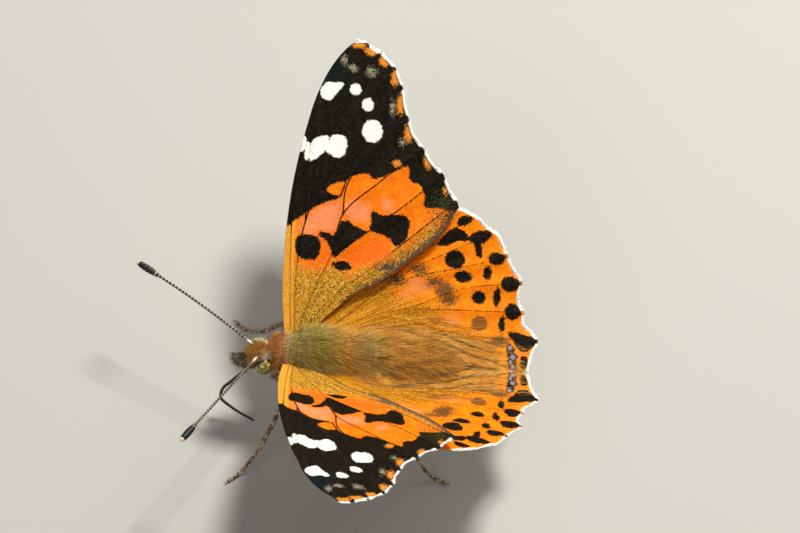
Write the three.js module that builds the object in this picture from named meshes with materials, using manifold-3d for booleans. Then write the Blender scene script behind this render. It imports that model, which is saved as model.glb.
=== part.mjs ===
// A painted lady butterfly, life size, standing with its wings half raised.
// Millimetres, +Z up. The head points to -Y and the butterfly's left side is +X.
// The origin is on the floor below the middle of the whole butterfly.

import * as THREE from 'three';
import { mergeVertices } from 'three/addons/utils/BufferGeometryUtils.js';
import Module from 'manifold-3d';

const wasm = await Module();
wasm.setup();

// Body. Heights are over the floor, lengths run back from the forewing hinge.
const HINGE_HEIGHT = 10.6;
const HINGE_HALF_WIDTH = 2.3;
const THORAX_HEIGHT = HINGE_HEIGHT - 1.05;
const HEAD_HEIGHT = HINGE_HEIGHT - 1.4;
const NECK_Y = -1.05;
const HEAD_TURN = 14.5;
const GAP = 0.28;
const EYE_GAP = 0.2;
const BODY_SIDES = 20;

// Wings. A wing point is (back, out): millimetres behind the hinge and out along the wing.
const MEMBRANE = 0.5;
const VEIN_HEIGHT = 0.14;
const VEIN_HALF_WIDTH = 0.32;
const FOREWING_LENGTH = 30.7;
const FOREWING_ROOT_ANGLE = 34;
const FOREWING_TIP_ANGLE = 26;
const FOREWING_ROOT_DROP = 0.3;
const HINDWING_SLOPE = 30;
const HINDWING_DROP = 0.3;
const HINDWING_BEND_X = 4.16;
const HINDWING_DIP_X = 1.6;
const HINDWING_DIP = 0.18;
const SCALLOP = 0.35;

// Limbs and feelers.
const LIMB_SIDES = 8;
const ANTENNA_LENGTH = 15.3;
const ANTENNA_SPREAD = 45.5;
const ANTENNA_RISE = 8;
const ANTENNA_RADIUS = 0.26;
const CLUB_RADIUS = 0.45;
const CLUB_LENGTH = 2.9;
const TARSUS_RADIUS = 0.26;
const TIBIA_RADIUS = 0.3;
const HIP_RADIUS = 0.47;
const TOE_RADIUS = 0.25;
const KNEE_GAP = 0.15;
const FOOT_SINK = 0.08;
const FRONT_LEG_RADIUS = 0.34;
const PALP_RADIUS = 0.3;
const PALP_FLATNESS = 0.75;
const PROBOSCIS_RADIUS = 0.3;

const COLOURS = {
  thorax: 0x8f8a3c,
  head: 0x8a5a2a,
  abdomen: 0xb8843c,
  eye: 0x6a6a35,
  dark: 0x2a211c,
  tawny: 0xa9743a,
  forewing: 0xe8822a,
  hindwing: 0xf08a1e,
};

const radians = THREE.MathUtils.degToRad;
const v3 = (x, y, z) => new THREE.Vector3(x, y, z);

const butterfly = new THREE.Group();
const headGroup = new THREE.Group();
headGroup.position.set(0, NECK_Y, HEAD_HEIGHT);
headGroup.rotation.z = radians(HEAD_TURN);
butterfly.add(headGroup);

function material(colour, roughness = 0.8) {
  return new THREE.MeshStandardMaterial({ color: colour, roughness, metalness: 0 });
}

function addPiece(name, geometry, colour, parent = butterfly, roughness = 0.8) {
  const mesh = new THREE.Mesh(geometry, material(colour, roughness));
  mesh.name = name;
  parent.add(mesh);
}

function geometryFrom(points, triangles) {
  const geometry = new THREE.BufferGeometry();
  geometry.setAttribute('position', new THREE.Float32BufferAttribute(points.flat(), 3));
  geometry.setIndex(triangles.flat());
  return geometry;
}

function toSolid(geometry) {
  const bare = geometry.clone();
  bare.deleteAttribute('normal');
  bare.deleteAttribute('uv');
  const merged = mergeVertices(bare, 1e-5);
  return new wasm.Manifold(new wasm.Mesh({
    numProp: 3,
    vertProperties: new Float32Array(merged.attributes.position.array),
    triVerts: new Uint32Array(merged.index.array),
  }));
}

// The largest closed surface of a solid, as a geometry.
function fromSolid(solid) {
  const pieces = solid.decompose();
  pieces.sort((a, b) => b.volume() - a.volume());
  const mesh = pieces[0].getMesh();
  const geometry = new THREE.BufferGeometry();
  geometry.setAttribute('position', new THREE.BufferAttribute(new Float32Array(mesh.vertProperties), 3));
  geometry.setIndex(new THREE.BufferAttribute(new Uint32Array(mesh.triVerts), 1));
  return geometry;
}

// A closed skin over rings of equal length, with a fan over each end.
function loft(rings) {
  const points = rings.flat().map((p) => [p.x, p.y, p.z]);
  const triangles = [];
  const sides = rings[0].length;
  for (let ring = 0; ring + 1 < rings.length; ring += 1) {
    for (let side = 0; side < sides; side += 1) {
      const a = ring * sides + side;
      const b = ring * sides + (side + 1) % sides;
      triangles.push([a, b, b + sides], [a, b + sides, a + sides]);
    }
  }
  [[0, -1], [rings.length - 1, 1]].forEach(([ring, way]) => {
    const centre = new THREE.Vector3();
    rings[ring].forEach((p) => centre.addScaledVector(p, 1 / sides));
    const hub = points.length;
    points.push([centre.x, centre.y, centre.z]);
    for (let side = 0; side < sides; side += 1) {
      const a = ring * sides + side;
      const b = ring * sides + (side + 1) % sides;
      triangles.push(way > 0 ? [a, b, hub] : [b, a, hub]);
    }
  });
  return geometryFrom(points, triangles);
}

// Sections along the body: [y, half width, half height, centre height].
function bodyLoft(sections, grow = 0) {
  const rings = sections.map(([y, halfWidth, halfHeight, centre], index) => {
    const end = index === 0 ? -grow : (index === sections.length - 1 ? grow : 0);
    return Array.from({ length: BODY_SIDES }, (unused, side) => {
      const angle = -2 * Math.PI * side / BODY_SIDES;
      const across = (halfWidth + grow) * Math.cos(angle);
      return v3(across, y + end, centre + (halfHeight + grow) * Math.sin(angle));
    });
  });
  return loft(rings);
}

// A tube through the given points, with a radius for each share of its length.
function tube(points, radiusAt, steps, flatten = 1) {
  const curve = new THREE.CatmullRomCurve3(points, false, 'centripetal');
  const frames = curve.computeFrenetFrames(steps, false);
  const rings = [];
  for (let step = 0; step <= steps; step += 1) {
    const share = step / steps;
    const centre = curve.getPointAt(share);
    const radius = radiusAt(share);
    rings.push(Array.from({ length: LIMB_SIDES }, (unused, side) => {
      const angle = 2 * Math.PI * (side + 0.5) / LIMB_SIDES;
      return centre.clone()
        .addScaledVector(frames.normals[step], radius * Math.cos(angle))
        .addScaledVector(frames.binormals[step], radius * flatten * Math.sin(angle));
    }));
  }
  return loft(rings);
}

// Thorax, with the rufous collar in front, and abdomen with its segments.
const THORAX_SECTIONS = [
  [-1.65, 0.9, 0.9, THORAX_HEIGHT - 0.3],
  [-1.5, 1.45, 1.4, THORAX_HEIGHT - 0.3],
  [-1.15, 1.8, 1.75, THORAX_HEIGHT - 0.25],
  [-0.8, 1.88, 1.82, THORAX_HEIGHT - 0.2],
  [-0.45, 1.72, 1.72, THORAX_HEIGHT - 0.15],
  [0.2, 1.92, 1.95, THORAX_HEIGHT - 0.05],
  [1.6, 2.15, 2.35, THORAX_HEIGHT],
  [3.6, 2.2, 2.5, THORAX_HEIGHT],
  [5.2, 2.15, 2.4, THORAX_HEIGHT],
  [6.8, 2.0, 2.1, THORAX_HEIGHT - 0.05],
  [8.0, 1.75, 1.8, THORAX_HEIGHT - 0.1],
  [8.6, 1.45, 1.5, THORAX_HEIGHT - 0.12],
];
const ABDOMEN_START = 8.9;
const ABDOMEN_LENGTH = 11;
const SEGMENTS = 7;
const SEGMENT_NOTCH = 0.07;

function abdomenSections() {
  const sections = [];
  for (let segment = 0; segment < SEGMENTS; segment += 1) {
    [0.04, 0.4, 0.96].forEach((part) => {
      const share = (segment + part) / SEGMENTS;
      const swell = 1.5 + 0.55 * Math.sin(Math.PI * Math.min(1, 0.25 + share)) - 1.15 * share ** 3;
      const half = swell - (part === 0.4 ? 0 : SEGMENT_NOTCH);
      const height = THORAX_HEIGHT - 0.12 - 0.5 * share ** 2;
      sections.push([ABDOMEN_START + share * ABDOMEN_LENGTH, half, half * 1.05, height]);
    });
  }
  sections.push([ABDOMEN_START + ABDOMEN_LENGTH, 0.35, 0.4, THORAX_HEIGHT - 0.62]);
  return sections;
}

addPiece('thorax', bodyLoft(THORAX_SECTIONS), COLOURS.thorax);
addPiece('abdomen', bodyLoft(abdomenSections()), COLOURS.abdomen);
const grownThorax = toSolid(bodyLoft(THORAX_SECTIONS, GAP));

// Head, in its own turned group: eyes, palps, antennae and proboscis grow from it.
const HEAD_SECTIONS = [
  [-1.0, 0.55, 0.55, 0],
  [-1.15, 1.05, 1.0, 0],
  [-1.5, 1.42, 1.32, 0],
  [-2.0, 1.45, 1.38, 0],
  [-2.5, 1.2, 1.2, 0],
  [-2.9, 0.8, 0.85, -0.05],
  [-3.05, 0.35, 0.4, -0.1],
];
const EYE_RADIUS = 1.02;
const EYE_CENTRE = [1.2, -1.75, -0.2];

function headLoft(grow = 0) {
  return bodyLoft([...HEAD_SECTIONS].reverse(), grow);
}

function eyeShape(side, grow = 0) {
  const ball = new THREE.SphereGeometry(EYE_RADIUS + grow, 20, 12);
  ball.rotateZ(Math.PI / 2);
  ball.scale(0.85, 0.95, 1);
  ball.translate(side * EYE_CENTRE[0], EYE_CENTRE[1], EYE_CENTRE[2]);
  return ball;
}

function antennaShape(side) {
  const spread = radians(ANTENNA_SPREAD);
  const rise = radians(ANTENNA_RISE);
  const level = v3(side * Math.sin(spread), -Math.cos(spread), 0);
  const way = level.multiplyScalar(Math.cos(rise)).setZ(Math.sin(rise));
  const root = v3(side * 0.45, -2.15, 0.8);
  const bend = v3(side * 0.25, -0.1, 0.35);
  const points = [0, 0.25, 0.5, 0.75, 1].map((share) => root.clone()
    .addScaledVector(way, share * ANTENNA_LENGTH)
    .addScaledVector(bend, Math.sin(Math.PI * share)));
  const clubStart = 1 - CLUB_LENGTH / ANTENNA_LENGTH;
  const radiusAt = (share) => {
    const club = Math.max(0, (share - clubStart) / (1 - clubStart));
    const swell = Math.sin(Math.PI * Math.min(1, club * 0.92)) ** 0.8;
    return ANTENNA_RADIUS + (CLUB_RADIUS - ANTENNA_RADIUS) * swell - 0.06 * (club > 0.9 ? 1 : 0);
  };
  return tube(points, radiusAt, 26);
}

const PALP_PATH = [[0.42, -1.9, -0.95], [0.44, -3.1, -0.75], [0.36, -4.0, -0.35], [0.33, -4.75, -0.05]];

function palpShape(side) {
  const points = PALP_PATH.map(([x, y, z]) => v3(side * x, y, z));
  const radiusAt = (share) => PALP_RADIUS + 0.18 * Math.sin(Math.PI * share) - 0.12 * share;
  return tube(points, radiusAt, 8, PALP_FLATNESS);
}

const PROBOSCIS_PATH = [
  v3(0, -2.1, -0.8), v3(0, -2.89, -2.08), v3(-0.1, -4.3, -4.1), v3(-0.15, -5.2, -5.6),
  v3(0.1, -5.3, -6.6), v3(0.9, -4.2, -7.5), v3(2.27, -2.0, -8.4),
];

let headSolid = toSolid(headLoft());
const grownHead = toSolid(headLoft(GAP));
[-1, 1].forEach((side) => {
  headSolid = headSolid.subtract(toSolid(eyeShape(side, EYE_GAP)));
});
addPiece('head', fromSolid(headSolid), COLOURS.head, headGroup);

const SIDES = { right: -1, left: 1 };
const palps = [];
Object.entries(SIDES).forEach(([sideName, side]) => {
  addPiece(`eye_${sideName}`, eyeShape(side), COLOURS.eye, headGroup, 0.25);
  const antenna = toSolid(antennaShape(side)).subtract(grownHead);
  addPiece(`antenna_${sideName}`, fromSolid(antenna), COLOURS.dark, headGroup, 0.5);
  const palp = toSolid(palpShape(side)).subtract(grownHead);
  palps.push(palp);
  addPiece(`palp_${sideName}`, fromSolid(palp), COLOURS.dark, headGroup);
});
const proboscis = toSolid(tube(PROBOSCIS_PATH, (share) => PROBOSCIS_RADIUS - 0.05 * share, 36));
addPiece('proboscis', fromSolid(proboscis.subtract(grownHead)), COLOURS.dark, headGroup, 0.4);

// Wing surfaces: the middle of the membrane at a wing point, on the left side.
function forewingSurface(back, out) {
  const root = radians(FOREWING_ROOT_ANGLE);
  const bend = (root - radians(FOREWING_TIP_ANGLE)) / FOREWING_LENGTH;
  const angle = root - bend * out;
  return v3(
    HINGE_HALF_WIDTH + (Math.sin(root) - Math.sin(angle)) / bend,
    back,
    HINGE_HEIGHT - FOREWING_ROOT_DROP + (Math.cos(angle) - Math.cos(root)) / bend,
  );
}

function hindwingSurface(back, out) {
  const x = HINGE_HALF_WIDTH + out * Math.cos(radians(HINDWING_SLOPE));
  const rise = Math.tan(radians(HINDWING_SLOPE)) * Math.log1p(Math.exp(x - HINDWING_BEND_X));
  const dip = HINDWING_DIP * Math.log1p(Math.exp(HINDWING_DIP_X - x));
  return v3(x, back, HINGE_HEIGHT - HINDWING_DROP + rise - dip);
}

// A wing's plan: each line runs from the root to the margin through wing points.
// A branch leaves its stem's line at a share of the stem's rows and goes on alone.
const FOREWING = {
  surface: forewingSurface,
  rows: 14,
  lines: [
    {
      name: 'costa',
      edge: true,
      path: [
        [-0.5, -0.9], [-1.15, 4], [-1.35, 10.4], [-1, 16], [-0.3, 20.5], [0.7, 24.9], [1.8, 27.6],
        [3.2, 29.7], [4.6, 30.6],
      ],
    },
    { name: 'Sc', path: [[0.05, -0.9], [-0.45, 5], [-0.85, 10.4], [-0.85, 14.5]], joins: ['costa', 8] },
    { name: 'R1', stem: 'R5', leaves: 6, path: [[0.35, 15.5]], joins: ['costa', 10] },
    { name: 'R2', stem: 'R5', leaves: 7, path: [[0.95, 18.5]], joins: ['costa', 11] },
    { name: 'R3', stem: 'R5', leaves: 9, path: [[2.3, 25]], joins: ['costa', 13] },
    { name: 'R4', stem: 'R5', leaves: 10, path: [[3.6, 27.2], [5.3, 30.4]] },
    {
      name: 'R5',
      path: [
        [0.45, -0.9], [0.1, 5], [0.3, 10], [1.3, 14.6], [1.9, 18.6], [2.8, 22.5], [6.9, 29.6],
      ],
    },
    { name: 'M1', stem: 'R5', leaves: 6, path: [[2.6, 16.4], [4.1, 21.5], [8.4, 28.2]] },
    { name: 'M2', stem: 'CuA1', leaves: 6, path: [[3.6, 15.4], [5.6, 20.2], [9.4, 26]] },
    { name: 'M3', stem: 'CuA1', leaves: 6, path: [[4.4, 15.2], [6.6, 18.9], [10.2, 23]] },
    { name: 'CuA1', path: [[0.8, -0.9], [2.1, 4.6], [3.5, 8.1], [4.3, 12.4], [7.6, 15.9], [12, 20]] },
    { name: 'CuA2', stem: 'CuA1', leaves: 4, path: [[7.1, 10.9], [9.9, 13.3], [14.3, 17.5]] },
    { name: '2A', path: [[1.3, -0.9], [4.2, 4], [7.6, 7], [11.1, 10.3], [15.9, 14.9]] },
    {
      name: 'inner',
      edge: true,
      path: [
        [1.9, -0.9], [2.9, 1], [4.3, 2.5], [7.1, 4.9], [9, 5.95], [11.4, 8.1], [14.4, 11.1],
        [16.2, 14.3],
      ],
    },
  ],
};

const HINDWING = {
  surface: hindwingSurface,
  rows: 14,
  lines: [
    {
      name: 'costa',
      edge: true,
      path: [
        [2.4, -0.7], [3.25, 1], [4.2, 2.7], [8.5, 8.6], [12.5, 12.8], [14.8, 14.7], [16.1, 15],
      ],
    },
    { name: 'Sc', path: [[2.8, -0.7], [6, 3.7], [10, 8.5], [17.2, 14.6]] },
    { name: 'Rs', stem: 'M2', leaves: 4, path: [[11, 8], [14.5, 11.3], [18.4, 14.1]] },
    { name: 'M1', stem: 'M2', leaves: 5, path: [[12, 8.1], [17, 11], [20.5, 12.7]] },
    { name: 'M2', path: [[3.4, -0.7], [6.5, 3.3], [10, 6.4], [14, 7.9], [18.3, 9.2], [21.8, 10.5]] },
    { name: 'M3', stem: 'CuA1', leaves: 6, path: [[16.1, 6.1], [21.1, 7.4], [23.5, 7.8]] },
    { name: 'CuA1', path: [[3.8, -0.7], [7, 2.1], [11.5, 3.9], [16.5, 4.3], [23.9, 4.7]] },
    { name: 'CuA2', stem: 'CuA1', leaves: 4, path: [[12, 2.6], [17, 1.6], [25.6, 1.7]] },
    { name: '2A', path: [[4.3, -0.7], [9, 0.7], [16, 0.2], [24.9, -0.5]] },
    {
      name: 'inner',
      edge: true,
      path: [
        [4.9, -0.7], [8, -0.45], [12, -0.55], [16, -1.1], [18.5, -1.9], [20.3, -2.3], [21.8, -2.38],
        [24.6, -2.38],
      ],
    },
  ],
};

// A vein's foot keeps this share of the distance to the next vein, where veins come close.
const CLOSEST_FOOT_SHARE = 0.48;

function splinePoints(path, count) {
  const curve = new THREE.CatmullRomCurve3(path.map(([back, out]) => v3(back, out, 0)), false, 'centripetal');
  return curve.getSpacedPoints(count).map((p) => [p.x, p.y]);
}

// Row points of every line, where branches share their stem's first rows.
function lineRows(plan) {
  const found = {};
  const lines = plan.lines;
  lines.filter((line) => !line.stem && !line.joins).forEach((line) => {
    found[line.name] = splinePoints(line.path, plan.rows);
  });
  lines.filter((line) => line.stem || line.joins).forEach((line) => {
    const leaves = line.stem ? line.leaves : 0;
    const shared = line.stem ? found[line.stem].slice(0, leaves) : [];
    const start = line.stem ? [found[line.stem][leaves]] : [];
    const last = line.joins ? line.joins[1] : plan.rows;
    const end = line.joins ? [found[line.joins[0]][last]] : [];
    const own = splinePoints([...start, ...line.path, ...end], last - leaves);
    const tail = line.joins ? found[line.joins[0]].slice(last + 1) : [];
    found[line.name] = [...shared, ...own, ...tail];
  });
  return lines.map((line) => ({ edge: line.edge, rows: found[line.name] }));
}

const between = (a, b, share) => [a[0] + (b[0] - a[0]) * share, a[1] + (b[1] - a[1]) * share];
const apart = (a, b) => Math.hypot(a[0] - b[0], a[1] - b[1]);

// Columns of the wing's mesh: every vein has a crest and two feet, with one column midway.
function wingColumns(plan) {
  const lines = lineRows(plan);
  const columns = [];
  lines.forEach((line, index) => {
    if (index > 0) {
      const before = lines[index - 1];
      const footShare = (row) => {
        const width = apart(before.rows[row], line.rows[row]);
        return width < 1e-6 ? 0 : Math.min(CLOSEST_FOOT_SHARE, VEIN_HALF_WIDTH / width);
      };
      const pulled = (row, share) => {
        const point = between(before.rows[row], line.rows[row], share);
        const isMargin = row === plan.rows;
        const width = apart(before.rows[row], line.rows[row]);
        const pull = isMargin ? SCALLOP * Math.min(1, width / 2) * 4 * share * (1 - share) : 0;
        const inward = between(before.rows[row - 1] ?? point, line.rows[row - 1] ?? point, share);
        const length = Math.max(1e-6, apart(point, inward));
        return between(point, inward, pull / length);
      };
      [(row) => footShare(row), () => 0.5, (row) => 1 - footShare(row)].forEach((shareAt) => {
        columns.push({ isVein: false, points: line.rows.map((unused, row) => pulled(row, shareAt(row))) });
      });
    }
    columns.push({ isVein: true, points: line.rows });
  });
  return columns;
}

function wingShape(plan, side) {
  const columns = wingColumns(plan);
  const points = [];
  const known = new Map();
  const index = [];
  const key = (at) => `${at[0].toFixed(3)},${at[1].toFixed(3)}`;
  const veins = columns.filter((column) => column.isVein);
  const crests = new Set(veins.flatMap((column) => column.points.map(key)));
  function vertex(at, face) {
    const id = `${key(at)},${face}`;
    if (!known.has(id)) {
      const [back, out] = at;
      const middle = plan.surface(back, out);
      const along = plan.surface(back, out + 0.05).sub(plan.surface(back, out - 0.05));
      const normal = v3(-along.z, 0, along.x).normalize();
      const lift = MEMBRANE / 2 + (crests.has(key(at)) ? VEIN_HEIGHT : 0);
      middle.addScaledVector(normal, face * lift);
      known.set(id, points.length);
      points.push([side * middle.x, middle.y, middle.z]);
    }
    return known.get(id);
  }
  columns.forEach((column) => {
    index.push(column.points.map((at) => ({ top: vertex(at, 1), under: vertex(at, -1) })));
  });
  const triangles = [];
  function triangle(a, b, c) {
    if (a !== b && b !== c && a !== c) {
      triangles.push(side > 0 ? [a, b, c] : [a, c, b]);
    }
  }
  const rows = plan.rows;
  for (let column = 0; column + 1 < index.length; column += 1) {
    for (let row = 0; row < rows; row += 1) {
      const a = index[column][row];
      const b = index[column + 1][row];
      const c = index[column + 1][row + 1];
      const d = index[column][row + 1];
      triangle(a.top, d.top, c.top);
      triangle(a.top, c.top, b.top);
      triangle(a.under, c.under, d.under);
      triangle(a.under, b.under, c.under);
    }
    [[0, 1], [rows, -1]].forEach(([row, way]) => {
      const a = way > 0 ? index[column][row] : index[column + 1][row];
      const b = way > 0 ? index[column + 1][row] : index[column][row];
      triangle(a.top, b.top, b.under);
      triangle(a.top, b.under, a.under);
    });
  }
  [[0, -1], [index.length - 1, 1]].forEach(([column, way]) => {
    for (let row = 0; row < rows; row += 1) {
      const a = way > 0 ? index[column][row] : index[column][row + 1];
      const b = way > 0 ? index[column][row + 1] : index[column][row];
      triangle(a.top, b.top, b.under);
      triangle(a.top, b.under, a.under);
    }
  });
  return geometryFrom(points, triangles);
}

// The wing roots are cut back from the body so that they meet it with the same small gap.
const grownAbdomen = toSolid(bodyLoft(abdomenSections(), GAP));
Object.entries(SIDES).forEach(([sideName, side]) => {
  const forewing = toSolid(wingShape(FOREWING, side)).subtract(grownThorax);
  addPiece(`forewing_${sideName}`, fromSolid(forewing), COLOURS.forewing);
  const hindwing = toSolid(wingShape(HINDWING, side)).subtract(grownThorax).subtract(grownAbdomen);
  addPiece(`hindwing_${sideName}`, fromSolid(hindwing), COLOURS.hindwing);
});

// Legs, given for the left side: two walking pairs and the small folded front pair.
const LEGS = {
  mid: {
    hip: [1.0, 3.0, 7.9],
    bend: [1.9, 2.6, 6.5],
    knee: [5.6, -0.4, 7.0],
    ankle: [7.6, -2.0, 2.5],
    heel: [9.0, -3.5, 0.45],
    toe: [10.3, -4.9],
  },
  hind: {
    hip: [1.0, 5.8, 7.9],
    bend: [1.8, 6.4, 6.6],
    knee: [4.6, 10.4, 7.3],
    ankle: [6.4, 14.0, 2.9],
    heel: [7.2, 16.0, 0.5],
    toe: [7.9, 17.9],
  },
};
const FRONT_LEG = [[0.8, 0.6, 7.9], [1.1, -0.1, 6.8], [1.0, -1.2, 6.7], [0.85, 0.1, 6.0], [0.8, 1.4, 5.9]];

function segment(side, joints, startRadius, endRadius, steps, trimStart, trimEnd) {
  const points = joints.map(([x, y, z]) => v3(side * x, y, z));
  const first = points[1].clone().sub(points[0]).normalize();
  points[0].addScaledVector(first, trimStart);
  const last = points[points.length - 2].clone().sub(points[points.length - 1]).normalize();
  points[points.length - 1].addScaledVector(last, trimEnd);
  return tube(points, (share) => startRadius + (endRadius - startRadius) * share, steps);
}

// Flattens what would reach below the floor, so that the foot stands on a small flat.
function onFloor(geometry) {
  const position = geometry.attributes.position;
  for (let index = 0; index < position.count; index += 1) {
    position.setZ(index, Math.max(0, position.getZ(index)));
  }
  return geometry;
}

Object.entries(SIDES).forEach(([sideName, side]) => {
  Object.entries(LEGS).forEach(([pair, leg]) => {
    const name = `leg_${pair}_${sideName}`;
    const sole = TARSUS_RADIUS - FOOT_SINK;
    const toe = [...leg.toe, sole];
    const ball = [leg.heel[0] * 0.6 + leg.toe[0] * 0.4, leg.heel[1] * 0.6 + leg.toe[1] * 0.4, sole];
    const upper = [leg.hip, leg.bend, leg.knee];
    const lower = [leg.knee, leg.ankle];
    const foot = [leg.ankle, leg.heel, ball, toe];
    const femur = toSolid(segment(side, upper, HIP_RADIUS, TIBIA_RADIUS, 9, 0, KNEE_GAP));
    addPiece(`${name}_femur`, fromSolid(femur.subtract(grownThorax)), COLOURS.tawny);
    const tibia = segment(side, lower, TIBIA_RADIUS, TARSUS_RADIUS, 4, KNEE_GAP, KNEE_GAP);
    addPiece(`${name}_tibia`, tibia, COLOURS.dark);
    const tarsus = segment(side, foot, TARSUS_RADIUS, TOE_RADIUS, 12, KNEE_GAP, 0);
    addPiece(`${name}_tarsus`, onFloor(tarsus), COLOURS.dark);
  });
  const brush = toSolid(segment(side, FRONT_LEG, FRONT_LEG_RADIUS, TOE_RADIUS, 14, 0, 0));
  addPiece(`leg_front_${sideName}`, fromSolid(brush.subtract(grownThorax)), COLOURS.tawny);
});

// The whole butterfly is moved so that the origin is below the middle of its box.
const box = new THREE.Box3().setFromObject(butterfly);
butterfly.position.set(-(box.min.x + box.max.x) / 2, -(box.min.y + box.max.y) / 2, -box.min.z);

export default butterfly;
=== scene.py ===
"""A painted lady butterfly, life size, dressed over its fixed frame.

Wing places are (back, out): millimetres behind the forewing hinge and out along the wing.
Body places are millimetres too, with the head at -Y and the butterfly's left side at +X.
"""

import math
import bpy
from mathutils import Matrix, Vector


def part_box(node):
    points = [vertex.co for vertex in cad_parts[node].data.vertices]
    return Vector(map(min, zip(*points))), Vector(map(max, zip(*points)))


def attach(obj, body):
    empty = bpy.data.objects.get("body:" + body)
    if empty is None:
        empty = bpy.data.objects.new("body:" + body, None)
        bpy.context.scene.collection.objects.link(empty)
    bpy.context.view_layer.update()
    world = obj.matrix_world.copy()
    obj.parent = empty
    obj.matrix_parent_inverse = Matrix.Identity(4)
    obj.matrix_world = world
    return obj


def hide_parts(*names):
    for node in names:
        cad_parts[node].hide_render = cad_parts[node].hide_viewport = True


bl_info = {
    "name": "Painted lady butterfly",
    "version": (1, 0, 0),
    "blender": (4, 5, 0),
    "location": "3D View > Sidebar > Butterfly",
    "description": "Scaled wings, hair, eyes, feelers and legs of a painted lady butterfly",
    "category": "Add Mesh",
}

import bmesh
import bpy
import numpy as np
from bpy.props import FloatProperty, FloatVectorProperty, IntProperty, PointerProperty
from mathutils import Matrix, Vector

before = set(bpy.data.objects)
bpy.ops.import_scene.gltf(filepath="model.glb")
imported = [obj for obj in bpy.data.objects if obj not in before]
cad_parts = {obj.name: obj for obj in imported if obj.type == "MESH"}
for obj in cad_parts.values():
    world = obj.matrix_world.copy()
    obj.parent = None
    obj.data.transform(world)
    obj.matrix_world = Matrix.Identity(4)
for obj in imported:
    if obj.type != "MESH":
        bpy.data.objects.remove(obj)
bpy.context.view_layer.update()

MM = 0.001
THORAX_FRONT = -1.65
BACK_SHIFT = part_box("thorax")[0].y / MM - THORAX_FRONT
SIDES = {"left": 1.0, "right": -1.0}

HINGE_HEIGHT = 10.6
HINGE_HALF_WIDTH = 2.3
THORAX_HEIGHT = HINGE_HEIGHT - 1.05
HEAD_HEIGHT = HINGE_HEIGHT - 1.4
NECK_BACK = -1.05
HEAD_TURN = math.radians(14.5)
EYE_RADIUS = 1.02
EYE_CENTRE = (1.2, -1.75, -0.2)
# Middles of the false pupils, as ways out from the eye's centre.
PSEUDOPUPILS = [
    (0.6, -0.35, 0.72), (0.9, -0.1, 0.25), (0.45, -0.85, 0.3), (0.5, 0.4, 0.78), (0.85, -0.5, -0.2),
]
ANTENNA_LENGTH = 15.3
ANTENNA_SPREAD = math.radians(45.5)
ANTENNA_RISE = math.radians(8)
ANTENNA_ROOT = (0.45, -2.15, 0.8)
ANTENNA_BEND = (0.25, -0.1, 0.35)
CLUB_LENGTH = 2.9
RINGS = 38
PALP_PATH = [(0.42, -1.9, -0.95), (0.44, -3.1, -0.75), (0.36, -4.0, -0.35), (0.33, -4.75, -0.05)]
PROBOSCIS_PATH = [
    (0, -2.1, -0.8), (0, -2.89, -2.08), (-0.1, -4.3, -4.1), (-0.15, -5.2, -5.6), (0.1, -5.3, -6.6),
    (0.9, -4.2, -7.5), (2.27, -2.0, -8.4),
]
LEGS = {
    "mid": {
        "hip": (1.0, 3.0, 7.9), "bend": (1.9, 2.6, 6.5), "knee": (5.6, -0.4, 7.0), "ankle": (7.6, -2.0, 2.5),
        "heel": (9.0, -3.5, 0.45), "toe": (10.3, -4.9),
    },
    "hind": {
        "hip": (1.0, 5.8, 7.9), "bend": (1.8, 6.4, 6.6), "knee": (4.6, 10.4, 7.3), "ankle": (6.4, 14.0, 2.9),
        "heel": (7.2, 16.0, 0.5), "toe": (7.9, 17.9),
    },
}
FRONT_LEG = [(0.8, 0.6, 7.9), (1.1, -0.1, 6.8), (1.0, -1.2, 6.7), (0.85, 0.1, 6.0), (0.8, 1.4, 5.9)]
SOLE = 0.17

# Axes, distance and aim of the camera, in millimetres.
CAMERA_X = (-0.0202, 0.9904, 0.1366)
CAMERA_Y = (-0.7936, -0.0991, 0.6004)
CAMERA_Z = (0.6081, -0.0963, 0.7880)
CAMERA_DISTANCE = 421.2
CAMERA_AIM_BACK = 9.31
CAMERA_AIM_HEIGHT = 15.11
FRAME_WIDTH = 79.49
SENSOR = 36.0

# Lamps: name, place from the butterfly's middle in metres, size in metres, power in watts, colour.
LAMPS = (
    ("key_light", (-0.16, 0.1, 0.42), 0.1, 2.75, (1.0, 0.965, 0.91)),
    ("fill_light", (0.34, -0.25, 0.28), 0.3, 0.6, (0.92, 0.96, 1.0)),
    ("back_light", (-0.3, 0.28, 0.2), 0.25, 0.6, (1.0, 0.98, 0.95)),
)
LAMPS_AIM_HEIGHT = 10
WORLD_COLOUR = (1.0, 0.98, 0.95, 1)
WORLD_STRENGTH = 0.22
FLOOR_HALF = 3.0

WELD = 0.0005
SHARE_STEP = 1e-3
HAIR_BEND = 0.45
HAIR_BELLY = 1.45
HAIR_PATCH = 0.003
# The skin takes this share of the coat's colour: painted shadow under the hair.
SKIN_SHADOW_UNDER_HAIR = 0.55
UNWRAP_MARGIN = 0.004
UNWRAP_WIDTH = 35.4
VEIN_SWELL = 0.22
PLEAT = 0.09
PLEAT_REACH = 1.3
FRINGE_SCALES = 900
FRINGE_PALE, FRINGE_DARK = (250, 248, 240), (48, 38, 30)
SCALES_PER_MM = (9.5, 12.0, 1.0)
FAR = 9.0


def paint(red, green, blue):
    """A screen colour, given as 0 to 255, in the linear numbers that materials take."""
    shares = [value / 255 for value in (red, green, blue)]
    return tuple(s / 12.92 if s <= 0.04045 else ((s + 0.055) / 1.055) ** 2.4 for s in shares)


# Smooth lines, distances and frames, all in numpy.


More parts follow.
